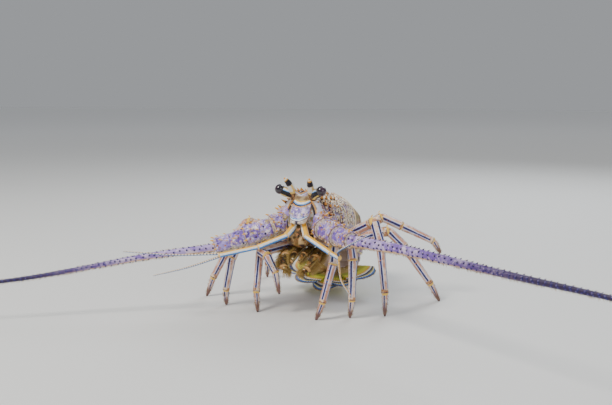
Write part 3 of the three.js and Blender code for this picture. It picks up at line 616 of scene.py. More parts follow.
def curve(points, count):
    """Evenly spaced points on a smooth line through the points given."""
    knots = np.array(points, float)
    knots = np.vstack([2 * knots[0] - knots[1], knots, 2 * knots[-1] - knots[-2]])
    fine = []
    for i in range(len(knots) - 3):
        p = knots[i:i + 4]
        t = np.concatenate([[0], np.cumsum(np.linalg.norm(np.diff(p, axis=0), axis=1) ** 0.5)])
        s = np.linspace(t[1], t[2], 60, endpoint=False)[:, None]
        a = [between(p[k], p[k + 1], t[k], t[k + 1], s) for k in range(3)]
        b = [between(a[k], a[k + 1], t[k], t[k + 2], s) for k in range(2)]
        fine.append(between(b[0], b[1], t[1], t[2], s))
    fine = np.vstack([*fine, knots[-2]])
    reach = np.concatenate([[0], np.cumsum(np.linalg.norm(np.diff(fine, axis=0), axis=1))])
    even = np.linspace(0, reach[-1], count)
    return np.stack([np.interp(even, reach, fine[:, k]) for k in range(3)], -1)


def limb(line, profile, lift=(0, 0, 1), tall=1.0):
    """The surface round a line of points, as a function of share along it and angle round it."""
    line = np.asarray(line, float)
    axis = unit(np.gradient(line, axis=0))
    side = unit(np.cross(axis, lift))
    rise = np.cross(side, axis)
    places = np.linspace(0, 1, len(line))
    shares, radii = np.array(profile, float).T

    def at(share, angle, grow=0.0):
        share, angle, grow = np.broadcast_arrays(*(np.asarray(v, float) for v in (share, angle, grow)))

        def along(values):
            return np.stack([np.interp(share, places, values[:, k]) for k in range(3)], -1)

        radius = np.interp(share, shares, radii) + grow
        out = along(side) * np.cos(angle)[..., None] + along(rise) * (tall * np.sin(angle))[..., None]
        return along(line) + out * radius[..., None]

    return at


def skinned(at, rows, sides, relief=None, marks=None, stripes=3):
    """A closed body over a limb's surface, with its place along and its stripes as marks."""
    share = np.linspace(0, 1, rows)[:, None] * np.ones((1, sides))
    angle = round_angles(sides)[None, :] * np.ones((rows, 1))
    points = at(share, angle)
    if relief is not None:
        points = at(share, angle, relief(points, share, angle))
    own = {"along": share, "stripe": np.cos(stripes * angle), "upper": np.sin(angle)}
    for key, value in (marks or {}).items():
        own[key] = value(points, share, angle) if callable(value) else value
    return tube(points, own)


def nearness(points, places, size):
    """1 at each place, falling off over this distance."""
    tree = KDTree(len(places))
    for i, place in enumerate(places):
        tree.insert(place, i)
    tree.balance()
    flat = np.asarray(points).reshape(-1, 3)
    away = np.array([tree.find(point)[2] for point in flat]).reshape(np.asarray(points).shape[:-1])
    return np.exp(-((away / size) ** 2))


HORN_BANDS = [(0.36, 0.46, 0.02, (0.88, 0.60, 0.14)), (0.44, 0.68, 0.02, (0.88, 0.84, 0.76))]


def paint_horn(shade):
    (along, tip, stripe), grain = shade.marks("along", "tip", "stripe"), shade.noise(420.0)
    wavy = along + (grain - 0.5) * 0.08
    root = grain.step(0.42, 0.56).mix((0.10, 0.045, 0.02), (0.40, 0.20, 0.08))
    pale = wavy.banded(root, HORN_BANDS)
    pale = (stripe * wavy.band(0.4, 0.68, 0.03)).step(0.5, 0.7).mix(pale, (0.90, 0.60, 0.16))
    dark = wavy.step(0.66, 0.7).mix(pale, (0.012, 0.010, 0.016))
    amber = wavy.step(0.885, 0.9).mix(dark, (0.90, 0.42, 0.04))
    white = wavy.band(0.93, 0.965, 0.008).mix(amber, (0.93, 0.88, 0.72))
    return tip.step(0.3, 0.6).mix(white, (0.92, 0.48, 0.06)), 0.3, grain * 0.2


horns = []
for flank in (1, -1):
    horn_at = limb(curve(mirrored(HORN_LINE, flank), 24), HORN_PROFILE, (1, 0, 0))
    horns.append(skinned(horn_at, 60, 28, lambda p, s, a: rough(p, 3.0) * 0.3 * (1 - s)))
    horns += thorns([mirrored((12, -1.5, 129), flank)], [mirrored((0.2, -1, 0.75), flank)], [4.5], 3.2)
piece("horns", horns, finish("horn_shell", paint_horn))

# Brow: the shelf of the carapace between the horns, with a small central spine, a fold under its
# edge with painted shadow, and the pale bands that run round above the antennules.
BROW_SECTION = [
    (13, 124.4), (6, 126.6), (-0.5, 129.2), (-3.8, 130.6), (-3.5, 128.8), (-2.6, 126.6),
    (-2.4, 124.2), (-2.0, 121.5), (-0.4, 118.6), (6, 117.5), (12, 119),
]
BROW_HALF_WIDTH = 9.8
BROW_SPECKS = [(620.0, 0.42, 0.4, (0.40, 0.14, 0.30)), (500.0, 0.42, 0.35, (0.94, 0.93, 0.95))]
BROW_BANDS = [
    (116.5, 120.2, 0.4, (0.62, 0.30, 0.10)),
    (124.3, 125.4, 0.15, (0.95, 0.95, 0.96)),
    (125.4, 126.0, 0.15, (0.10, 0.28, 0.66)),
    (126.1, 127.3, 0.15, (0.92, 0.44, 0.06)),
    # Near-black band under the shelf's edge: painted shadow.
    (127.4, 129.2, 0.2, (0.03, 0.02, 0.04)),
]


def brow():
    section = curve([(0, y, z) for y, z in BROW_SECTION], 90)
    across = np.linspace(-1, 1, 70)[:, None]
    y = 6 + (section[None, :, 1] - 6) * (1 - 0.4 * across**2)
    upper = blend(section[None, :, 2], 122, 128)
    z = section[None, :, 2] + (1.6 * across**2 - 0.6) * upper * blend(-section[None, :, 1], -4, 2)
    x = across * BROW_HALF_WIDTH * np.ones_like(y)
    level = z - 0.55 * np.abs(x)
    return tube(np.stack([x, y, z], -1), {"level": level, "shelf": blend(-y, -1, 3) * upper})


def paint_brow(shade):
    level, shelf = shade.marks("level", "shelf")
    grain, cloud = shade.noise(330.0), shade.noise(150.0)
    wavy = level + (grain - 0.5) * 0.7
    cream = cloud.step(0.44, 0.56).mix((0.80, 0.66, 0.44), (0.52, 0.44, 0.72))
    banded = wavy.banded(shade.speckled(cream, BROW_SPECKS), BROW_BANDS)
    shelf_paint = wavy.step(129.2, 129.5).mix(banded, (0.74, 0.70, 0.86))
    brown = cloud.step(0.4, 0.6).mix((0.30, 0.18, 0.08), (0.62, 0.48, 0.28))
    return shelf.step(0.5, 0.2).mix(shelf_paint, brown), 0.34, grain * 0.3


brow_thorns = thorns([(0, -2.4, 129.8)], [(0, -0.5, 1.0)], [3.9], 2.6)
brow_thorns += thorns([(4.5, 7, 126), (-4.5, 7, 126)], [(0, -1, 0.9)] * 2, [3.2] * 2)
piece("brow", [brow()], finish("brow_shell", paint_brow))
piece("brow_teeth", brow_thorns, thorn_finish)

# Eyes: black globes on short thick stalks that swing out from under the horns.
# The globe is a clear, finely faceted cornea; the stalk is hard, black, and lined with pale stripes.
EYE_ROOT, EYE_NECK, EYE_CENTRE = (8, 6, 121), (16, -1, 127), (23.7, -4.5, 131)
EYE_RADIUS = 5.3
EYE_AXES = (0.97, 1.0, 1.02)
GAZE = (0.82, -0.42, 0.4)
SIDES = {"left": 1, "right": -1}
STALK_PROFILE = [(0, 3.4), (0.3, 4.0), (0.55, 4.7), (0.72, 5.2), (0.82, 4.9), (0.9, 3.8), (1, 2.5)]


def globe(centre, radii, axis, rows=44, sides=64, marks=None):
    """A closed ellipsoid about an axis."""
    axis = unit(axis)
    side = unit(np.cross(axis, (0, 0, 1)))
    rise = np.cross(side, axis)
    polar = np.linspace(0.03, math.pi - 0.03, rows)[:, None]
    angle = round_angles(sides)[None, :]
    points = (np.asarray(centre, float) + axis * (np.cos(polar) * radii[0] * np.ones_like(angle))[..., None]
              + side * (np.sin(polar) * np.cos(angle) * radii[1])[..., None]
              + rise * (np.sin(polar) * np.sin(angle) * radii[2])[..., None])
    return tube(points, {"polar": np.cos(polar) * np.ones_like(angle), **(marks or {})})


def paint_cornea(shade):
    polar, facets = shade.painted("polar"), shade.cells(2400.0, jitter=0.3)
    black = shade.noise(160.0, 2.0).mix((0.004, 0.003, 0.006), (0.016, 0.006, 0.022))
    # Plum towards the front of the black globe: painted sheen.
    plum_sheen = polar.step(0.45, 0.95).mix(black, (0.045, 0.012, 0.032))
    return polar.step(-0.42, -0.62).mix(plum_sheen, (0.02, 0.01, 0.02)), 0.1, facets * 0.05


STALK_STRIPES = [
    (0.68, 0.86, 0.05, (0.93, 0.62, 0.12)),
    (0.38, 0.68, 0.04, (0.94, 0.95, 0.95)),
    (0.24, 0.38, 0.04, (0.10, 0.36, 0.80)),
    (-0.86, -0.66, 0.05, (0.92, 0.66, 0.16)),
]


def paint_stalk(shade):
    (along, high), grain = shade.marks("along", "high"), shade.noise(360.0)
    wavy = high + (grain - 0.5) * 0.16
    brown = grain.step(0.42, 0.58).mix((0.07, 0.035, 0.02), (0.26, 0.13, 0.05))
    black = along.step(0.34, 0.42).mix(brown, (0.008, 0.007, 0.012))
    spot = (along.band(0.2, 0.31, 0.03) * wavy.band(-0.35, 0.3, 0.08)).mix(black, (0.72, 0.84, 0.93))
    return wavy.banded(spot, STALK_STRIPES, along.band(0.3, 0.84, 0.03)), 0.3, grain * 0.2


cornea_finish = finish("eye_cornea", paint_cornea, coat=1.0)
stalk_finish = finish("eye_stalk", paint_stalk)
for side_name, flank in SIDES.items():
    stalk_line = curve(mirrored([EYE_ROOT, EYE_NECK, EYE_CENTRE], flank), 24)
    radii = [EYE_RADIUS * share for share in EYE_AXES]
    eye = globe(mirrored(EYE_CENTRE, flank), radii, mirrored(GAZE, flank))
    piece(f"eye_{side_name}_globe", [eye], cornea_finish, [f"eye_{side_name}"])
    heights = np.linspace(0, 1, len(stalk_line)), stalk_line[:, 2]
    stalk_at = limb(stalk_line, STALK_PROFILE, (0, 1, 0))
    stalk = skinned(stalk_at, 60, 48, lambda p, s, a: rough(p, 2.5) * 0.2,
                    {"high": lambda p, s, a: (p[..., 2] - np.interp(s, *heights)) / 4.6})
    piece(f"eye_{side_name}_stalk", [stalk], stalk_finish)

# Front plate: the sloping shield over the antennules, held between the antenna bases.
# It is hard shell, lavender, crossed by curved bands of yellow, white and blue, with six short spines.
PLATE_PATH = [(-3.4, 20), (-7.4, 14), (-10.4, 6), (-14.0, -1), (-15.2, -5.4)]
PLATE_HALF_WIDTHS = [10.5, 10.8, 10.8, 10, 8]
PLATE_DEPTH = 6.0
PLATE_DIP = 0.035
PLATE_RIDGES = [(113.4, 0.8, 0.7), (118.2, 0.7, 0.5)]
PLATE_SPECKS = [(560.0, 0.44, 0.4, (0.12, 0.04, 0.26)), (480.0, 0.38, 0.32, (0.96, 0.95, 0.97))]
PLATE_BANDS = [
    (117.6, 118.9, 0.15, (0.94, 0.55, 0.04)),
    (115.9, 117.6, 0.2, (0.93, 0.96, 0.99)),
    (114.9, 116.1, 0.25, (0.10, 0.34, 0.78)),
    (113.9, 114.9, 0.15, (0.012, 0.012, 0.04)),
    (112.8, 113.9, 0.2, (0.90, 0.42, 0.06)),
    (101.0, 102.0, 0.15, (0.06, 0.28, 0.70)),
    (99.9, 101.1, 0.15, (0.93, 0.94, 0.96)),
    (99.2, 99.9, 0.12, (0.02, 0.015, 0.05)),
]


def front_plate():
    path = curve([(0, y, z) for y, z in PLATE_PATH], 60)
    drop = np.linspace(0, 1, 60)[:, None]
    across = np.linspace(-1, 1, 70)[None, :]
    half_width = np.interp(drop, np.linspace(0, 1, 5), PLATE_HALF_WIDTHS)
    x = np.sin(across * math.pi / 2 * 0.98) * half_width
    back = 4.5 * np.abs(across) ** 3 - 0.9 * bell(np.abs(across), 0.42, 0.22) * blend(drop, 0.2, 0.6)
    y = path[:, 1][:, None] + back
    z = path[:, 2][:, None] - back * 0.3
    points = from_trunk(np.stack([x, y, z], -1))
    out = grid_out(points)
    if out[30, 35] @ FORWARD < 0:
        out = -out
    points = points + out * (rough(points, 2.4) * 0.35)[..., None]
    level = points[..., 2] - PLATE_DIP * x**2
    ridge = sum(bell(level, middle, width) * height for middle, width, height in PLATE_RIDGES)
    points = points + out * ridge[..., None]
    marks = {"level": points[..., 2] - PLATE_DIP * x**2, "side": across * np.ones_like(drop)}
    return sheet(points, PLATE_DEPTH, marks, out)


def paint_front_plate(shade):
    level, side, tip, thorn = shade.marks("level", "side", "tip", "thorn")
    grain, cloud = shade.noise(420.0), shade.noise(170.0, 3.0)
    wavy = level + (grain - 0.5) * 0.8
    lilac = cloud.step(0.44, 0.56).mix((0.27, 0.19, 0.55), (0.66, 0.58, 0.84))
    pink = shade.noise(210.0).step(0.54, 0.6).mix(lilac, (0.88, 0.66, 0.74))
    spots = shade.speckled(pink, PLATE_SPECKS)
    top = wavy.step(118.6, 119.0).mix(spots, (0.80, 0.66, 0.42))
    banded = wavy.banded(top, PLATE_BANDS)
    chin = grain.step(0.42, 0.58).mix((0.86, 0.78, 0.62), (0.62, 0.50, 0.40))
    chin = (side * side).step(0.02, 0.004).mix(chin, (0.03, 0.02, 0.05))
    chin = wavy.step(95.6, 95.2).mix(chin, (0.90, 0.52, 0.06))
    base = wavy.step(99.3, 99.0).mix(banded, chin)
    edge = (side * side).step(0.86, 0.94).mix(base, (0.78, 0.42, 0.10))
    spine = tip.step(0.15, 0.55).mix((0.62, 0.54, 0.80), (0.95, 0.78, 0.40))
    return thorn.mix(edge, spine), 0.34, grain * 0.35


PLATE_THORNS = [(7.5, -8.4, 12), (5.0, -13, 3.5), (9.6, -9, 4)]
PLATE_THORN_LENGTHS = [5, 5, 4.4, 4.4, 3.6, 3.6]
plate_roots = [from_trunk(mirrored(place, flank)) for place in PLATE_THORNS for flank in (1, -1)]
plate_ways = [turned((0.25 * flank, -1, 0.55)) for flank in (1, -1) * len(PLATE_THORNS)]
plate_thorns = thorns(plate_roots, plate_ways, PLATE_THORN_LENGTHS, 3.2)
piece("front_plate_shell", [front_plate(), *plate_thorns], finish("front_plate_paint", paint_front_plate),
      ["front_plate"])

# Mouth: a ridged upper lip plate over two dark-edged jaws, olive and brown.
# All are hard shell, set into the flesh behind the front plate.
LIP_AT, LIP_RADII = (0, 0, -17), (11.4, 14, 14)
JAW_AT, JAW_RADII = (5.6, -8.5, -22), (7.4, 5.2, 5.6)


def lip():
    body = globe(from_trunk(LIP_AT), LIP_RADII, FORWARD, 70, 110)
    p = body["points"]
    fold = np.sin(p[:, 0] * 1.9 + np.abs(p[:, 2] - 84) * 0.5) * 0.35 + rough(p, 3.0) * 0.5
    body["points"] = p + unit(p - from_trunk(LIP_AT)) * fold[:, None]
    body["paint"]["ridge"] = fold
    return body


def jaw(flank):
    centre = from_trunk(mirrored(JAW_AT, flank))
    body = globe(centre, JAW_RADII, turned((0.1 * flank, -0.35, -1)), 50, 60)
    p = body["points"]
    fold = rough(p, 2.2) * 0.55 - 0.8 * bell(p[:, 0] * flank, 1.2, 1.0)
    body["points"] = p + unit(p - centre) * fold[:, None]
    body["paint"]["ridge"] = fold
    body["paint"]["jaw"] = np.ones(len(p))
    return body


def paint_mouth(shade):
    jaw_mark, ridge, polar = shade.marks("jaw", "ridge", "polar")
    grain, cloud = shade.noise(380.0), shade.noise(110.0)
    olive = cloud.step(0.4, 0.62).mix((0.06, 0.03, 0.012), (0.27, 0.16, 0.045))
    rust = grain.step(0.52, 0.64).mix(olive, (0.5, 0.2, 0.07))
    cream = ridge.step(0.35, 0.7).mix(rust, (0.6, 0.46, 0.26))
    pale = (jaw_mark * cloud.step(0.46, 0.58)).mix(cream, (0.52, 0.33, 0.14))
    tooth = (jaw_mark * polar.step(0.72, 0.9)).mix(pale, (0.04, 0.02, 0.02))
    return tooth, 0.4, grain * 0.4


piece("mouth_parts", [lip(), jaw(1), jaw(-1)], finish("mouth_shell", paint_mouth), ["mouth"])

# Antennae: on each side three thick, spiny base segments, hard shell with soft orange joints.
# Each grows broader towards its far end and carries a crown of forward spines there.
ANTENNA_JOINTS = {
    "left": [(14, 14, 93), (29, -6, 91), (49, -22, 88), (67, -35, 87)],
    "right": [(-14, 14, 96), (-33, -5, 89), (-58, -19, 79.5), (-87, -33, 68.5)],
}
ANTENNA_PROFILES = [
    [(-0.05, 9), (0, 9.5), (0.45, 11.5), (0.8, 12), (0.95, 12.2), (1.0, 11)],
    [(0, 9.8), (0.1, 11.2), (0.55, 10.7), (0.85, 11.3), (0.95, 11.4), (1.0, 9.8)],
    [(0, 8.2), (0.1, 9.4), (0.55, 8.6), (0.85, 8.7), (0.95, 8.5), (1.0, 6.9)],
]
CROWN_SHARE, CROWN_ANGLES = 0.9, (80, 35, 150, -35, 120, 5, 185)
ROW_SHARES, ROW_ANGLES = (0.25, 0.5, 0.7), (85, 40, 145, -30)
PRICKLES = 34
LOBES = {"left": (18.5, 4, 98.5), "right": (-18.5, 4, 102)}
LOBE_RADII = (9.0, 8.5, 10.5)
LOBE_PRICKLES = 26
# Thorns of the lobe: angle forward of sideways, angle down from upright, length
LOBE_THORNS = [(20, 60, 8), (55, 45, 8.5), (-20, 55, 7), (75, 70, 6), (10, 95, 6)]
BASE_SPECKS = [
    (520.0, 0.44, 0.42, (0.12, 0.07, 0.38)),
    (450.0, 0.38, 0.24, (0.96, 0.94, 0.96)),
    (330.0, 0.4, 0.34, (0.60, 0.25, 0.04)),
    (230.0, 0.32, 0.4, (0.02, 0.015, 0.08)),
]


def paint_antenna_base(shade):
    along, tip, upper, spot = shade.marks("along", "tip", "upper", "spot")
    grain, cloud, patch = shade.noise(430.0), shade.noise(85.0), shade.noise(150.0, 4.0, 0.6)
    lilac = cloud.step(0.42, 0.6).mix((0.20, 0.11, 0.52), (0.46, 0.35, 0.80))
    cream = patch.step(0.57, 0.63).mix(lilac, (0.86, 0.76, 0.78))
    olive = shade.noise(95.0, 3.0, 0.5).step(0.58, 0.66).mix(cream, (0.48, 0.36, 0.15))
    under = (upper + (cloud - 0.5) * 1.2).step(-0.25, -0.75).mix(olive, (0.50, 0.40, 0.22))
    dots = shade.speckled(under, BASE_SPECKS)
    ring = (spot.band(0.55, 0.8, 0.1) * 0.55).mix(dots, (0.84, 0.72, 0.86))
    pale = grain.step(0.42, 0.56).mix((0.50, 0.38, 0.30), (0.80, 0.70, 0.62))
    joint = along.step(0.975, 0.985).mix(ring, pale)
    brown = (along.step(0.955, 0.965) * along.step(0.985, 0.975)).mix(joint, (0.20, 0.09, 0.06))
    base = tip.step(0.1, 0.3).mix(brown, (0.76, 0.60, 0.66))
    amber = tip.step(0.4, 0.58).mix(base, (0.95, 0.48, 0.04))
    return tip.step(0.82, 0.96).mix(amber, (0.98, 0.86, 0.50)), 0.32, grain * 0.3


def outward(at, share, angle):
    """The way straight out from a limb's surface."""
    return unit(at(share, angle, 1.0) - at(share, angle))


def base_segment(at, axis):
    """One base segment with its spines, each on a pale mound."""
    roots, ways, lengths = [], [], []

    def grow(share, degrees, length, forward):
        angle = math.radians(degrees)
        roots.append(at(share, angle))
        ways.append(outward(at, share, angle) + axis * forward + FORWARD * 0.25)
        lengths.append(length)

    for degrees in CROWN_ANGLES:
        grow(CROWN_SHARE, degrees + draws.uniform(-8, 8), draws.uniform(4.6, 6.6), 1.0)
    for share in ROW_SHARES:
        for degrees in ROW_ANGLES:
            place = share + draws.uniform(-0.06, 0.06)
            grow(place, degrees + draws.uniform(-14, 14), draws.uniform(3.2, 5.6), 0.7)
    for _ in range(PRICKLES):
        grow(draws.uniform(0.08, 0.86), draws.uniform(-60, 240), draws.uniform(1.2, 2.4), 0.5)
    roots = np.array(roots)

    def relief(points, share, _):
        lumps = nearness(points, roots, 2.0) * 0.7 + rough(points, 4.0) * 0.4
        lumps = lumps + rough(points, 1.7, 9.0) * 0.15
        return lumps + 0.4 * bell(share, 0.96, 0.015) - 0.5 * bell(share, 0.92, 0.015)

    body = skinned(at, 90, 100, relief, {"spot": lambda p, s, a: nearness(p, roots, 2.0)})
    return [body, *thorns(roots, ways, lengths, 3.3, 0.25, axis)]


def base_lobe(side_name):
    """The knob at the root of the antenna, under the eye, with five strong spines and small ones."""
    centre, flank = np.array(LOBES[side_name], float), SIDES[side_name]
    roots, ways, lengths = [], [], []

    def grow(forward, tilt, length):
        forward, tilt = math.radians(forward), math.radians(tilt)
        level = math.sin(tilt)
        way = np.array([flank * level * math.cos(forward), -level * math.sin(forward), math.cos(tilt)])
        roots.append(centre + way * (LOBE_RADII[1], LOBE_RADII[0], LOBE_RADII[2]) * 0.97)
        ways.append(way + FORWARD * 0.15)
        lengths.append(length)

    for forward, tilt, length in LOBE_THORNS:
        grow(forward, tilt, length * 0.96)
    for _ in range(LOBE_PRICKLES):
        grow(draws.uniform(-30, 110), draws.uniform(25, 120), draws.uniform(1.2, 2.6))
    roots = np.array(roots)
    body = globe(centre, LOBE_RADII, (0, -1, 0), 60, 90, {"upper": 0.5})
    p = body["points"]
    near = nearness(p, roots, 2.0)
    body["points"] = p + unit(p - centre) * (near * 0.6 + rough(p, 3.5) * 0.4)[:, None]
    body["paint"]["spot"] = near
    return [body, *thorns(roots, ways, lengths, 3.2, 0.2, FORWARD)]


antenna_finish = finish("antenna_base_shell", paint_antenna_base)
for side_name, joints in ANTENNA_JOINTS.items():
    for index in range(3):
        start, end = np.array(joints[index], float), np.array(joints[index + 1], float)
        base_at = limb([start, end], ANTENNA_PROFILES[index])
        segment = base_segment(base_at, unit(end - start))
        if index == 0:
            segment += base_lobe(side_name)
        if index < 2:
            after = unit(np.array(joints[index + 2], float) - end)
            turn = unit(unit(end - start) + after)
            neck = [(0, ANTENNA_PROFILES[index][-1][1] - 1.3), (1, ANTENNA_PROFILES[index + 1][0][1] - 1.0)]
            fold_at = limb([end - turn * 2.2, end + turn * 2.2], neck)
            fold = skinned(fold_at, 16, 48, lambda p, s, a: 0.3 * np.sin(s * 20), {"along": 1.0})
            segment.append(fold)
        node = f"antenna_{side_name}_base_{index + 1}"
        piece(f"{node}_shell", segment, antenna_finish, [node])

# Whips: the long stiff part of each antenna, hundreds of short rings that taper to a thread.
# Small dark spines stand on it in rows, with a pale fringe of bristles along it.
WHIPS = {
    "left": [(67, -35, 87), (126, -72, 90), (223, -132, 90), (304, -183, 91), (398, -244, 90)],
    "right": [(-87, -33, 68.5), (-145, -68, 61.5), (-232, -124, 46), (-272, -151, 41), (-375, -222, 34)],
}
WHIP_RADII = {"left": 5.8, "right": 4.2}
WHIP_TIP_RADIUS = 0.6
WHIP_ROWS = (30, 100, 165, 240, 330)
WHIP_SPINE_SPACING = 7.0
WHIP_RINGS = 330
WHIP_FRINGE = 1500
BAKE_PATCH = 0.003


def paint_whip(shade):
    along, tip, upper, spot, ring = shade.marks("along", "tip", "upper", "spot", "ring")
    grain, cloud = shade.noise(500.0), shade.noise(60.0)
    near = cloud.step(0.4, 0.62).mix((0.26, 0.14, 0.56), (0.52, 0.38, 0.78))
    far = along.step(0.12, 0.6).mix(near, (0.022, 0.010, 0.05))
    pale = (shade.noise(130.0).step(0.52, 0.62) * along.step(0.5, 0.1)).mix(far, (0.80, 0.64, 0.82))
    low = (upper + (cloud - 0.5)).step(-0.35, -0.75) * along.step(0.6, 0.2)
    under = low.mix(pale, (0.80, 0.48, 0.20))
    flecks = (grain.step(0.6, 0.68) * along.step(0.6, 0.2)).mix(under, (0.80, 0.64, 0.74))
    ringed = (ring.step(-0.5, -0.95) * 0.45).mix(flecks, (0.14, 0.06, 0.2))
    spotted = spot.step(0.2, 0.5).mix(ringed, (0.012, 0.012, 0.13))
    thorn = tip.step(0.02, 0.15).mix(spotted, (0.03, 0.02, 0.13))
    return tip.step(0.7, 0.95).mix(thorn, (0.85, 0.55, 0.25)), 0.36, grain * 0.15


def bristles(name, roots, ways, lengths, patch, material, width=0.1):
    """Fine hairs as thin bent cones, each with a patch of the paint map at its root's own place."""
    roots, ways, lengths = np.asarray(roots, float), unit(ways), np.asarray(lengths, float)
    across = unit(np.cross(ways, (0.31, 0.52, 0.79)))
    up = np.cross(ways, across)
    share = np.array([-0.08, 0.35, 0.7, 1.0])
    thick = np.array([1.0, 0.85, 0.6, 0.15]) * width
    bend = np.array([0, 0.02, 0.08, 0.18])
    angle = round_angles(3)
    line = roots[:, None] + ways[:, None] * (share * lengths[:, None])[..., None]
    line = line - UP * (bend * lengths[:, None])[..., None]
    spread = across[:, None, None] * np.cos(angle)[:, None] + up[:, None, None] * np.sin(angle)[:, None]
    points = line[:, :, None] + spread * thick[:, None, None]
    count, rows, sides = points.shape[:3]
    quads = grid_faces(rows, sides, True)
    faces = quads[None] + (np.arange(count) * rows * sides)[:, None, None]
    cap = np.array([[sides * (rows - 1), sides * (rows - 1) + 1, sides * (rows - 1) + 2], [2, 1, 0]])
    caps = cap[None] + (np.arange(count) * rows * sides)[:, None, None]
    body = {"points": points.reshape(-1, 3), "faces": [faces.reshape(-1, 4), caps.reshape(-1, 3)],
            "paint": {"along": np.broadcast_to(share[None, :, None], points.shape[:3]).reshape(-1)}}
    made = piece(name, [body], material)
    layer = made.data.uv_layers.new(name="OFBake")
    owner = np.zeros(len(made.data.loops), np.int32)
    made.data.loops.foreach_get("vertex_index", owner)
    corner = np.stack([owner % sides, (owner // sides) % rows], -1) / (sides, rows) * BAKE_PATCH
    places = np.asarray(patch)[owner // (rows * sides)] + corner
    layer.data.foreach_set("uv", places.astype(np.float32).reshape(-1))


def paint_bristle(shade):
    along = shade.painted("along")
    return along.mix((0.24, 0.13, 0.03), (0.62, 0.42, 0.13)), 0.5, None


whip_finish = finish("whip_shell", paint_whip)
bristle_finish = finish("bristle", paint_bristle, coat=0.1)
for side_name, knots in WHIPS.items():
    line = curve(knots, 240)
    sweep = unit(line[-1] - line[0])
    length = np.linalg.norm(np.diff(line, axis=0), axis=1).sum()
    share = np.linspace(0, 1, 40)
    radii = WHIP_RADII[side_name] + (WHIP_TIP_RADIUS - WHIP_RADII[side_name]) * share**0.85
    whip_at = limb(line, np.stack([share, radii], -1))
    roots, ways, lengths = [], [], []
    for row, degrees in enumerate(WHIP_ROWS):
        place = WHIP_SPINE_SPACING * (0.3 + 0.5 * (row % 2))
        while place < length * 0.96:
            along = place / length
            angle = math.radians(degrees + draws.uniform(-14, 14))
            radius = np.interp(along, share, radii)
            roots.append(whip_at(along, angle))
            ways.append(outward(whip_at, along, angle) + sweep * 0.8)
            lengths.append(0.5 + radius * 0.42)
            place += WHIP_SPINE_SPACING * (0.62 + 0.38 * (1 - along)) * draws.uniform(0.75, 1.25)
    roots = np.array(roots)
    whip_nodes = [f"antenna_{side_name}_whip_1", f"antenna_{side_name}_whip_2"]

    def annuli(_points, along, _angle):
        return np.cos(along * WHIP_RINGS * ROUND) * 0.09 + 0.35 * bell(along, 0.004, 0.004)

    body = skinned(whip_at, WHIP_RINGS * 4 + 1, 24, annuli, {
        "spot": lambda p, s, a: nearness(p, roots, 1.15),
        "ring": lambda p, s, a: np.cos(s * WHIP_RINGS * ROUND),
    })
    spines = thorns(roots, ways, lengths, 2.7, 0.2, sweep, 6, 5)
    piece(f"antenna_{side_name}_whip_shell", [body, *spines], whip_finish, whip_nodes)
    place = draws.uniform(0, 0.97, WHIP_FRINGE) ** 1.2
    angle = np.where(draws.uniform(size=WHIP_FRINGE) < 0.7, math.radians(265), math.radians(80))
    angle = angle + draws.normal(0, 0.25, WHIP_FRINGE)
    way = outward(whip_at, place, angle) + sweep * 0.7
    patches = np.stack([place * 0.98, angle % ROUND / 7], -1)
    bristles(f"antenna_{side_name}_whip_fringe", whip_at(place, angle), way,
             draws.uniform(1.2, 2.4, WHIP_FRINGE), patches, bristle_finish, 0.09)

# Antennules: two slim jointed stalks under the front plate, each with a pair of feelers.
# Thin shell, white with a yellow line above and a blue one below.
ANTENNULES = {
    "left": ([(4, -6, 95), (13, -20, 85), (45, -33, 72.5), (57, -41, 70)],
             [[(61, -54, 80), (96, -62, 101)], [(64, -56, 52), (80, -72, 41)]]),
    "right": ([(-4, -6, 95), (-9.5, -20, 84.5), (-34.5, -37, 73.5), (-70, -56, 65.5)],
              [[(-111, -76, 67), (-160, -94, 70)], [(-95, -74, 55), (-129, -88, 46)]]),
}
STALK_STATIONS = (0, 0.12, 0.93, 1)
STALK_RADII = [(3.3, 3.4, 3.5, 3.3), (2.6, 2.8, 2.9, 2.6), (2.3, 2.4, 2.5, 2.3)]
FEELER_RADIUS, FEELER_TIP_RADIUS, FEELER_OFFSET = 1.2, 0.45, 1.35


def paint_antennule(shade):
    along, upper, feeler = shade.marks("along", "upper", "feeler")
    grain = shade.noise(420.0)
    wavy = upper + (grain - 0.5) * 0.3
    cream = grain.step(0.4, 0.65).mix((0.84, 0.80, 0.72), (0.95, 0.94, 0.90))
    yellow = wavy.step(0.62, 0.74).mix(cream, (0.93, 0.50, 0.04))
    blue = wavy.band(-0.72, -0.1, 0.08).mix(yellow, (0.03, 0.26, 0.74))
    dark = wavy.step(-0.66, -0.8).mix(blue, (0.02, 0.015, 0.05))
    joint = (along.step(0.95, 0.965) * (1 - feeler)).mix(dark, (0.90, 0.56, 0.16))
    bands = shade.make("ShaderNodeMath", {"operation": "SINE"}, {0: along * 190.0})
    dim = (feeler * bands.step(0.1, 0.5) * 0.75).mix(joint, (0.05, 0.05, 0.14))
    return dim, 0.32, grain * 0.15


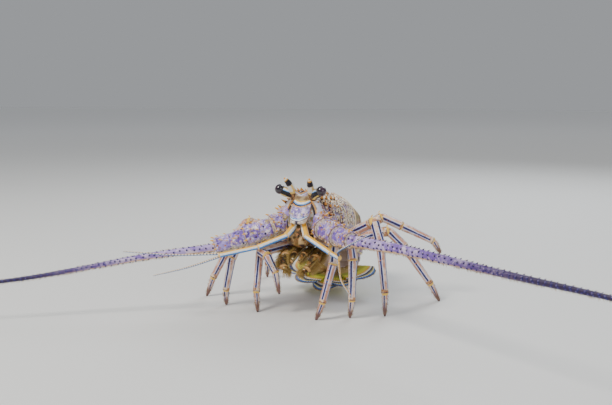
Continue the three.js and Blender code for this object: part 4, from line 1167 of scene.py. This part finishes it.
antennule_finish = finish("antennule_shell", paint_antennule)
for side_name, (joints, feelers) in ANTENNULES.items():
    joints = np.array(joints, float)
    parts = []
    for index, radii in enumerate(STALK_RADII):
        way = unit(joints[index + 1] - joints[index])
        reach = [joints[index] - way * (1.0 if index else 0), joints[index + 1] + way * 0.4]
        stalk_at = limb(reach, list(zip(STALK_STATIONS, radii)))
        parts.append(skinned(stalk_at, 70, 36, lambda p, s, a: 0.25 * bell(s, 0.93, 0.02)))
    node = f"antennule_{side_name}_stalk"
    piece(f"{node}_shell", parts, antennule_finish, [node])
    lean = unit(joints[3] - joints[2])
    for label, rise, (middle, tip) in zip(("upper", "lower"), (1, -1), feelers):
        start = joints[3] - lean * 2 + np.array([0, 0, rise * FEELER_OFFSET])
        feeler_at = limb(curve([start, middle, tip], 90), [(0, FEELER_RADIUS), (1, FEELER_TIP_RADIUS)])
        body = skinned(feeler_at, 480, 16, lambda p, s, a: 0.07 * np.cos(s * 120 * math.pi),
                       {"feeler": 1.0}, 1)
        name = f"antennule_{side_name}_{label}_feeler"
        piece(f"{name}_shell", [body], antennule_finish, [name])

# Jaw feet: the third maxillipeds, short legs folded forward under the mouth, edged with bristles
# that rake food towards the jaws.
JAW_FOOT = [(14, 26, 68), (17, -5, 59), (13, -19, 50), (5, -18, 46)]
JAW_FOOT_PROFILES = [
    [(0, 5.0), (0.5, 6.6), (0.93, 6.0), (1, 5.4)],
    [(0, 5.2), (0.12, 6.2), (0.85, 4.9), (0.95, 5.0), (1, 4.2)],
    [(0, 3.9), (0.12, 4.4), (0.7, 2.8), (0.94, 1.4), (1, 0.5)],
]
INNER_FOOT = [(5, 16, 66), (5.2, -8, 62), (4, -19, 57)]
INNER_FOOT_PROFILES = [
    [(0, 3.6), (0.5, 4.2), (0.93, 3.9), (1, 3.5)],
    [(0, 3.3), (0.12, 4.0), (0.7, 2.8), (0.94, 1.5), (1, 0.5)],
]
JAW_FOOT_FLATNESS = 0.78
JAW_FOOT_BRISTLES, INNER_FOOT_BRISTLES = (460, 460, 280), (200, 260)
JAW_FOOT_SPECKS = [(420.0, 0.42, 0.4, (0.36, 0.13, 0.04)), (330.0, 0.36, 0.25, (0.80, 0.70, 0.44))]


def paint_jaw_foot(shade):
    along, upper, tip = shade.marks("along", "upper", "tip")
    grain, cloud = shade.noise(380.0), shade.noise(120.0)
    olive = cloud.step(0.42, 0.58).mix((0.05, 0.03, 0.012), (0.30, 0.19, 0.045))
    pale = shade.speckled(olive, JAW_FOOT_SPECKS)
    edge = (upper + (cloud - 0.5) * 0.6).band(0.2, 0.5, 0.1).mix(pale, (0.66, 0.52, 0.24))
    joint = along.step(0.93, 0.96).mix(edge, (0.62, 0.34, 0.12))
    return tip.step(0.3, 0.7).mix(joint, (0.9, 0.6, 0.2)), 0.36, grain * 0.35


def jaw_foot(side_name, flank, line, profiles, tall, label, counts):
    """One jaw foot: its segments, and the bristles along the edge that faces the middle."""
    joints = mirrored(line, flank)
    parts, roots, ways, places = [], [], [], []
    for index, profile in enumerate(profiles):
        way = unit(joints[index + 1] - joints[index])
        foot_at = limb([joints[index], joints[index + 1] + way * 0.5], profile, (0, 0, 1), tall)
        parts.append(skinned(foot_at, 60, 44,
                             lambda p, s, a: rough(p, 2.5) * 0.35 + 0.25 * bell(s, 0.93, 0.03)))
        count = counts[index]
        share = draws.uniform(0.12 if index else 0.45, 0.97, count)
        inner = math.pi if flank > 0 else 0.0
        angle = inner + draws.normal(0, 0.7, count) + 0.3 * flank
        roots.append(foot_at(share, angle))
        ways.append(outward(foot_at, share, angle) + way * 0.5 + draws.normal(0, 0.2, (count, 3)))
        places.append(np.stack([share * 0.3 + 0.33 * index, angle % ROUND / 7], -1))
    node = f"maxilliped_{side_name}{label}"
    piece(f"{node}_shell", parts, jaw_foot_finish, [node])
    lengths = draws.uniform(3.5, 7.5, sum(counts)) * (0.7 if label else 1.0)
    bristles(f"{node}_bristles", np.vstack(roots), np.vstack(ways), lengths, np.vstack(places),
             bristle_finish, 0.13)


jaw_foot_finish = finish("jaw_foot_shell", paint_jaw_foot)
for side_name, flank in SIDES.items():
    jaw_foot(side_name, flank, JAW_FOOT, JAW_FOOT_PROFILES, JAW_FOOT_FLATNESS, "", JAW_FOOT_BRISTLES)
    jaw_foot(side_name, flank, INNER_FOOT, INNER_FOOT_PROFILES, 1.0, "_inner", INNER_FOOT_BRISTLES)

# Walking legs: five on each side, slim hard tubes joined by soft rings, each a thigh, a short knee
# segment, a long shin and a pointed toe. Long dark stripes run down them.
LEG_ROOTS = [(8, 27, -24), (13.5, 40, -24), (18, 53, -24), (21, 66, -23), (23, 78, -22)]
LEGS = {
    "left": [
        [(40, -8, 73), (27, -28, 0)],
        [(56, -4, 79), (57, -8, 0)],
        [(74, 20, 98), (89, 12, 0)],
        [(74, 76, 79), (130, 91, 0)],
        [(62, 90, 92), (84, 96, 82), (118, 108, 65), (126, 111, 51)],
    ],
    "right": [
        [(-45, -8, 62), (-33, -17, 60), (-21, -22, 44), (-16, -24, 22)],
        [(-46, 10, 80), (-41, -25, 0)],
        [(-74, -2, 68), (-85, -13, 0)],
        [(-81, 32, 86.5), (-124, 12, 0)],
        [(-70, 92, 76), (-98, 122, 0)],
    ],
}
KNEE_SHARE, WRIST_SHARE = 0.22, 0.76
KNEE_BOW, WRIST_BOW = 5.0, 4.0
LEG_PROFILES = [
    [(0, 5.0), (0.26, 5.3), (0.31, 5.6), (0.335, 4.6), (0.36, 5.3), (0.5, 5.1), (0.88, 5.3),
     (0.96, 5.5), (1, 4.6)],
    [(0, 4.4), (0.1, 4.9), (0.45, 4.7), (0.85, 5.0), (0.95, 5.1), (1, 4.2)],
    [(0, 4.0), (0.06, 4.6), (0.4, 4.1), (0.85, 3.8), (0.96, 3.9), (1, 3.1)],
    [(0, 3.0), (0.08, 3.3), (0.3, 2.9), (0.7, 2.2), (0.92, 1.5), (1, 0.9)],
]
LEG_THORN_SHARE, LEG_THORN_ANGLES, LEG_THORN_LENGTHS = 0.94, (90, 40, 140), (4.6, 3.0, 3.0)
TOE_BRISTLES = 150


def leg_joints(side_name, index):
    pose = [np.array(p, float) for p in LEGS[side_name][index]]
    root = from_trunk(mirrored(LEG_ROOTS[index], SIDES[side_name]))
    knee, foot = pose[0], pose[-1]
    if len(pose) == 4:
        return [root, *pose]
    bow = unit((knee - root) * (1, 1, 0))
    return [root, knee, knee + (foot - knee) * KNEE_SHARE + bow * KNEE_BOW,
            knee + (foot - knee) * WRIST_SHARE + bow * WRIST_BOW, foot]


def paint_leg(shade):
    along, stripe, tip, toe, fold = shade.marks("along", "stripe", "tip", "toe", "fold")
    grain, cloud, patch = shade.noise(380.0), shade.noise(70.0), shade.noise(190.0, 3.0)
    pink = cloud.step(0.4, 0.6).mix((0.62, 0.29, 0.20), (0.90, 0.66, 0.54))
    wavy = stripe + (cloud - 0.5) * 0.6 + (patch - 0.5) * 0.5
    white = wavy.band(-0.1, 0.4, 0.1).mix(pink, (0.94, 0.91, 0.90))
    blue = wavy.band(0.38, 0.66, 0.06).mix(white, (0.08, 0.22, 0.74))
    dark = wavy.step(0.66, 0.76).mix(blue, (0.025, 0.02, 0.10))
    dots = shade.speckled(dark, [(430.0, 0.4, 0.3, (0.52, 0.20, 0.10))])
    toe_paint = (toe * along.step(0.3, 0.7)).mix(dots, (0.20, 0.10, 0.09))
    claw = (toe * along.step(0.92, 0.96)).mix(toe_paint, (0.07, 0.03, 0.02))
    shank = 1 - toe
    knee = patch.step(0.44, 0.56).mix((0.50, 0.23, 0.09), (0.84, 0.64, 0.46))
    spotted = shade.speckled(knee, [(300.0, 0.38, 0.4, (0.30, 0.08, 0.02))])
    knee_paint = (along.step(0.87, 0.89) * shank).mix(claw, spotted)
    end = (along.step(0.955, 0.965) * shank).mix(knee_paint, (0.93, 0.60, 0.10))
    ring = (along.band(0.94, 0.952, 0.005) * shank).mix(end, (0.06, 0.03, 0.10))
    soft = fold.mix(ring, (0.50, 0.24, 0.13))
    return tip.step(0.3, 0.7).mix(soft, (0.95, 0.55, 0.06)), 0.32, grain * 0.3


leg_finish = finish("leg_shell", paint_leg)
toe_roots, toe_ways, toe_places = [], [], []
for side_name in LEGS:
    for index in range(len(LEG_ROOTS)):
        joints = leg_joints(side_name, index)
        parts = []
        for step, profile in enumerate(LEG_PROFILES):
            way = unit(joints[step + 1] - joints[step])
            last = joints[step + 1] + way * (0.8 if step < 3 else 0)
            upright = abs(way[2]) >= 0.95
            side_lift = (0, -1, 0) if upright else unit(np.cross(np.cross(way, (0, 0, 1)), way))
            leg_at = limb(curve([joints[step], last], 12), profile, side_lift, 1.06)
            body = skinned(leg_at, 70, 48, lambda p, s, a: rough(p, 3.0) * 0.16,
                           {"toe": float(step == 3)}, 4)
            if step == 3 and joints[4][2] == 0:
                body["points"][:, 2] = np.maximum(body["points"][:, 2], 0.05)
            parts.append(body)
            if step < 3:
                after = unit(joints[step + 2] - joints[step + 1])
                turn = unit(way + after)
                neck = profile[-1][1] * 0.86
                parts.append(globe(joints[step + 1], (neck * 1.05, neck, neck), turn, 16, 28,
                                   {"fold": 1.0, "along": 0.2}))
            if step == 0:
                angles = np.radians(LEG_THORN_ANGLES)
                rises = way + outward(leg_at, LEG_THORN_SHARE, angles) * 0.5
                parts += thorns(leg_at(LEG_THORN_SHARE, angles), rises, LEG_THORN_LENGTHS, 3.0, 0.1, way)
            if step == 3:
                share = draws.uniform(0.05, 0.9, TOE_BRISTLES)
                angle = draws.uniform(0, ROUND, TOE_BRISTLES)
                toe_roots.append(leg_at(share, angle))
                toe_ways.append(outward(leg_at, share, angle) + way * 1.3)
                column = index + (0 if side_name == "left" else 5)
                toe_places.append(np.stack([share * 0.09 + column * 0.099, angle / 7], -1))
        name = f"leg_{side_name}_{index + 1}"
        piece(f"{name}_shell", parts, leg_finish, [f"{name}_upper", f"{name}_lower"])
toe_roots, toe_ways, toe_places = np.vstack(toe_roots), np.vstack(toe_ways), np.vstack(toe_places)
clear = toe_roots[:, 2] > 3
bristles("toe_bristles", toe_roots[clear], toe_ways[clear], draws.uniform(1.2, 2.6, clear.sum()),
         toe_places[clear], bristle_finish, 0.1)

# Abdomen: six hard rings that slide under one another, curled under the body, with a groove across
# each back, a pointed flap on each flank and soft swimming plates below.
ABDOMEN_AT = (0, 90.7, 83)
# Rings: length, heading below the horizon, half width, height above the line, depth below it
ABDOMEN = [
    (12, 8, 27.8, 26.4, 17),
    (20, 24, 27.6, 25.6, 15),
    (20, 54, 27, 24.4, 13),
    (19, 92, 26, 22, 12),
    (18, 132, 24.5, 18, 10),
    (16, 160, 22, 12, 8),
]
THORAX_HEADING, FAN_HEADING = 9.0, 168.0
RING_PROFILE = [
    (0, 0.93), (0.14, 0.95), (0.2, 0.985), (0.3, 1.0), (0.46, 1.01), (0.5, 0.985), (0.56, 0.985),
    (0.6, 1.01), (0.9, 1.015), (0.97, 1.005), (1, 0.985),
]
RING_TOP_POWER, RING_BELLY_POWER = 0.9, 0.6
EYE_SPOT, SMALL_SPOT = 4.4, 1.9
SPOT_RING = (0.05, 0.03, 0.03)


def down_by(degrees):
    angle = np.radians(degrees)
    return np.stack([0 * angle, np.cos(angle), -np.sin(angle)], -1)


def dorsal_of(degrees):
    angle = np.radians(degrees)
    return np.stack([0 * angle, np.sin(angle), np.cos(angle)], -1)


ring_joints = [np.array(ABDOMEN_AT, float)]
for ring_length, heading, *_ in ABDOMEN:
    ring_joints.append(ring_joints[-1] + down_by(float(heading)) * ring_length)


def abdomen_at(index, share, angle, grow=0.0):
    """Points on one ring of the abdomen."""
    share, angle, grow = np.broadcast_arrays(*(np.asarray(v, float) for v in (share, angle, grow)))
    headings = [THORAX_HEADING, *[row[1] for row in ABDOMEN], FAN_HEADING]
    before = (headings[index] + headings[index + 1]) / 2
    after = (headings[index + 1] + headings[index + 2]) / 2
    heading = before + (after - before) * share
    here, following = ABDOMEN[index], ABDOMEN[min(index + 1, len(ABDOMEN) - 1)]
    swell = np.interp(share, *np.array(RING_PROFILE).T)
    width, top, bottom = ((here[k] + (following[k] - here[k]) * share) * swell + grow for k in (2, 3, 4))
    centre = ring_joints[index] + (ring_joints[index + 1] - ring_joints[index]) * share[..., None]
    upper = np.sin(angle) > 0
    power = np.where(upper, RING_TOP_POWER, RING_BELLY_POWER)
    x = shaped(np.cos(angle), power) * width
    z = shaped(np.sin(angle), power) * np.where(upper, top, bottom)
    return centre + np.stack([x, 0 * x, 0 * x], -1) + dorsal_of(heading) * z[..., None]


def flap(root, tip, width, thickness, lift, marks):
    """A thin pointed blade from root to tip, broad at the root."""
    profile = [(0, width), (0.35, width * 0.95), (0.7, width * 0.62), (0.92, width * 0.22), (1, 0.25)]
    line = curve([root, (root + tip) / 2, tip], 10)
    return skinned(limb(line, profile, lift, thickness / width), 40, 36, marks=marks)


def paint_abdomen(shade):
    along, upper, pleura, soft, spot = shade.marks("along", "upper", "pleura", "soft", "spot")
    grain, cloud, patch = shade.noise(300.0), shade.noise(32.0, 4.0), shade.noise(75.0, 3.0)
    brown = cloud.step(0.42, 0.58).mix((0.17, 0.08, 0.035), (0.46, 0.28, 0.12))
    olive = patch.step(0.52, 0.66).mix(brown, (0.22, 0.20, 0.07))
    purple = (upper + (cloud - 0.5)).step(0.3, -0.3).mix(olive, (0.34, 0.22, 0.36))
    speck = (shade.cells(420.0).step(0.22, 0.12) * 0.8).mix(purple, (0.84, 0.72, 0.42))
    cell, chosen = shade.cells(62.0), patch.step(0.4, 0.5) * along.step(0.3, 0.36)
    ringed = (cell.step(0.28, 0.24) * chosen).mix(speck, SPOT_RING)
    spotted = (cell.step(0.2, 0.16) * chosen).mix(ringed, (0.93, 0.80, 0.45))
    edged = spot.step(0.2, 0.28).mix(spotted, SPOT_RING)
    eyed = spot.step(0.4, 0.48).mix(edged, (0.95, 0.84, 0.52))
    # Dark brown band along the groove across each back: painted shade in the groove.
    groove = (along.step(0.47, 0.5) * along.step(0.6, 0.57)).mix(eyed, (0.13, 0.07, 0.04))
    edge = along.step(0.93, 0.95).mix(groove, (0.90, 0.70, 0.32))
    rim = (along.step(0.9, 0.915) * along.step(0.94, 0.93)).mix(edge, (0.06, 0.035, 0.05))
    belly = upper.step(-0.2, -0.6).mix(rim, (0.55, 0.44, 0.38))
    tan = grain.step(0.4, 0.62).mix((0.44, 0.26, 0.13), (0.80, 0.62, 0.36))
    flank = pleura.step(0.2, 0.5).mix(belly, tan)
    blade = along.step(0.75, 0.9).mix((0.52, 0.42, 0.22), (0.15, 0.2, 0.38))
    return soft.mix(flank, blade), 0.36, grain * 0.3


def ring_relief(points, share, angle):
    ends = blend(share, 0, 0.04) * blend(-share, -1, -0.97)
    keel = 0.5 * bell(angle, math.pi / 2, 0.05) * blend(share, 0.3, 0.4)
    return (rough(points, 5.0) * 0.35 + rough(points, 2.0, 4.0) * 0.12 + keel) * ends


abdomen_finish = finish("abdomen_shell", paint_abdomen)
for index, (ring_length, heading, width, _, bottom) in enumerate(ABDOMEN):
    share = np.linspace(0.008, 0.992, 56)[:, None] * np.ones((1, 150))
    angle = round_angles(150)[None, :] * np.ones((56, 1))
    relief = ring_relief(abdomen_at(index, share, angle), share, angle)
    skin = abdomen_at(index, share, angle, relief)
    spots = [abdomen_at(index, 0.74, math.radians(degrees)) for degrees in (42, 138)]
    spot = nearness(skin, spots, EYE_SPOT if index in (1, 5) else SMALL_SPOT)
    parts = [tube(skin, {"along": share, "upper": np.sin(angle), "spot": spot})]
    middle = (ring_joints[index] + ring_joints[index + 1]) / 2
    rise, back = dorsal_of(float(heading)), down_by(float(heading))
    for flank in (1, -1):
        out = np.array([flank, 0, 0])
        root = middle + out * (width - 3.5)
        tip = root - rise * (bottom + 9) + out * 2 + back * ring_length * 0.12
        parts.append(flap(root, tip, ring_length * 0.36, 1.5, (1, 0, 0), {"pleura": lambda p, s, a: s}))
        if 0 < index < 5:
            hip = middle + out * 11 - rise * (bottom - 3)
            for offset, reach, breadth in ((0, 11, 4.2), (3.2, 9.5, 3.4)):
                end = hip - rise * reach + out * (2 + offset) + back * offset * 0.5
                parts.append(flap(hip, end, breadth, 0.9, (1, 0, 0), {"soft": 1.0}))
    piece(f"abdomen_{index + 1}_shell", parts, abdomen_finish, [f"abdomen_{index + 1}"])

# Tail fan: a middle plate and two pairs of side plates, hard near the root and leathery beyond,
# stiffened by fine rays and edged with a short fringe. Bands of olive, yellow, white and blue.
# Plates: length, root beside the middle, half width at the root, widest, spread, layer
TELSON = (50, 0, 11, 15.5, 0, 0)
FAN_PLATES = {"inner": (48, 8, 6.5, 16.5, 27, 3.4), "outer": (52, 11, 7, 18.5, 56, 6.8)}
FAN_CUP = 9.0
FAN_SIDE = 62.0
FAN_RAYS = 15
FAN_THICKNESS = 2.3
FAN_FRINGE = 420
FAN_BANDS = [
    (0.66, 0.72, 0.01, (0.88, 0.46, 0.08)),
    (0.72, 0.79, 0.01, (0.93, 0.94, 0.88)),
    (0.79, 0.87, 0.01, (0.02, 0.04, 0.18)),
    (0.87, 0.91, 0.01, (0.70, 0.62, 0.08)),
    (0.91, 0.95, 0.01, (0.92, 0.95, 0.95)),
]


def fan_plate(plate, flank):
    """A ribbed plate; its edge is returned too, for the fringe."""
    plate_length, root, base, wide, spread, layer = plate
    turn = math.radians(spread) * flank
    along = np.linspace(0, 1, 90)[:, None]
    across = np.linspace(-1, 1, 130)[None, :]
    swell = np.sin(math.pi * np.minimum(along * 0.62 + 0.02, 1)) ** 0.7
    half_width = base + (wide - base) * swell
    round_end = np.sqrt(1 - 0.5 * across**2)
    reach_out = plate_length * along * (1 + (round_end - 1) * along**3)
    x = across * half_width
    side = root * flank + x * math.cos(turn) + reach_out * math.sin(turn)
    reach = reach_out * math.cos(turn) - x * math.sin(turn)
    cup = FAN_CUP * (side / FAN_SIDE) ** 2 + layer
    rays = np.cos(across * math.pi * FAN_RAYS)
    ray = rays * 0.22 * blend(along, 0.3, 0.5)
    keel = 0.9 * bell(across, 0, 0.12) * blend(-along, -0.75, -0.1)
    hard = 0.35 * blend(-along, -0.42, -0.38)
    base_at = ring_joints[-1]
    along_way, dorsal = down_by(FAN_HEADING), dorsal_of(FAN_HEADING)
    thickness = (FAN_THICKNESS * (1 - 0.45 * along)) * np.ones_like(across)
    lift = thickness / 2 + ray + keel + hard - cup
    points = (base_at + along_way * reach[..., None] + np.array([1, 0, 0]) * side[..., None]
              + dorsal * lift[..., None])
    points = points + dorsal * (rough(points, 4.0) * 0.2)[..., None]
    marks = {"along": along, "ray": rays, "across": across}
    out = np.broadcast_to(dorsal, points.shape)
    return sheet(points, thickness, marks, out), points


def paint_fan(shade):
    along, ray, across = shade.marks("along", "ray", "across")
    grain, cloud = shade.noise(280.0), shade.noise(70.0)
    level = along + across * across * 0.1 + (cloud - 0.5) * 0.08
    root = cloud.step(0.4, 0.6).mix((0.30, 0.17, 0.05), (0.55, 0.40, 0.14))
    specked = shade.speckled(root, [(300.0, 0.36, 0.35, (0.93, 0.82, 0.45))])
    olive = level.step(0.34, 0.42).mix(specked, (0.36, 0.40, 0.05))
    lime = level.step(0.46, 0.58).mix(olive, (0.74, 0.74, 0.08))
    blue = level.step(0.945, 0.96).mix(level.banded(lime, FAN_BANDS), (0.06, 0.22, 0.66))
    rayed = (ray.step(0.3, 0.8) * 0.3 * along.step(0.3, 0.45)).mix(blue, (0.26, 0.2, 0.06))
    return rayed, 0.32, grain * 0.2


fan_finish = finish("fan_shell", paint_fan)
fan_edges, fan_ways, fan_places = [], [], []
fans = [("telson", TELSON, 1)]
for side_name, flank in SIDES.items():
    fans += [(f"uropod_{side_name}_{name}", plate, flank) for name, plate in FAN_PLATES.items()]
for order, (name, plate, flank) in enumerate(fans):
    blade, points = fan_plate(plate, flank)
    piece(f"{name}_shell", [blade], fan_finish, [name])
    column = draws.uniform(0, points.shape[1] - 1.001, FAN_FRINGE)
    low = column.astype(int)
    part = (column - low)[:, None]
    edge = points[-1, low] * (1 - part) + points[-1, low + 1] * part
    inner = points[-6, low] * (1 - part) + points[-6, low + 1] * part
    fan_edges.append(edge - dorsal_of(FAN_HEADING) * 0.6)
    fan_ways.append(unit(edge - inner) + draws.normal(0, 0.05, (FAN_FRINGE, 3)))
    place = 0.02 + order * 0.19 + column / points.shape[1] * 0.17
    fan_places.append(np.stack([place, np.full(FAN_FRINGE, 0.5)], -1))
bristles("fan_fringe", np.vstack(fan_edges), np.vstack(fan_ways),
         draws.uniform(1.6, 2.8, FAN_FRINGE * len(fans)), np.vstack(fan_places), bristle_finish,
         0.12)
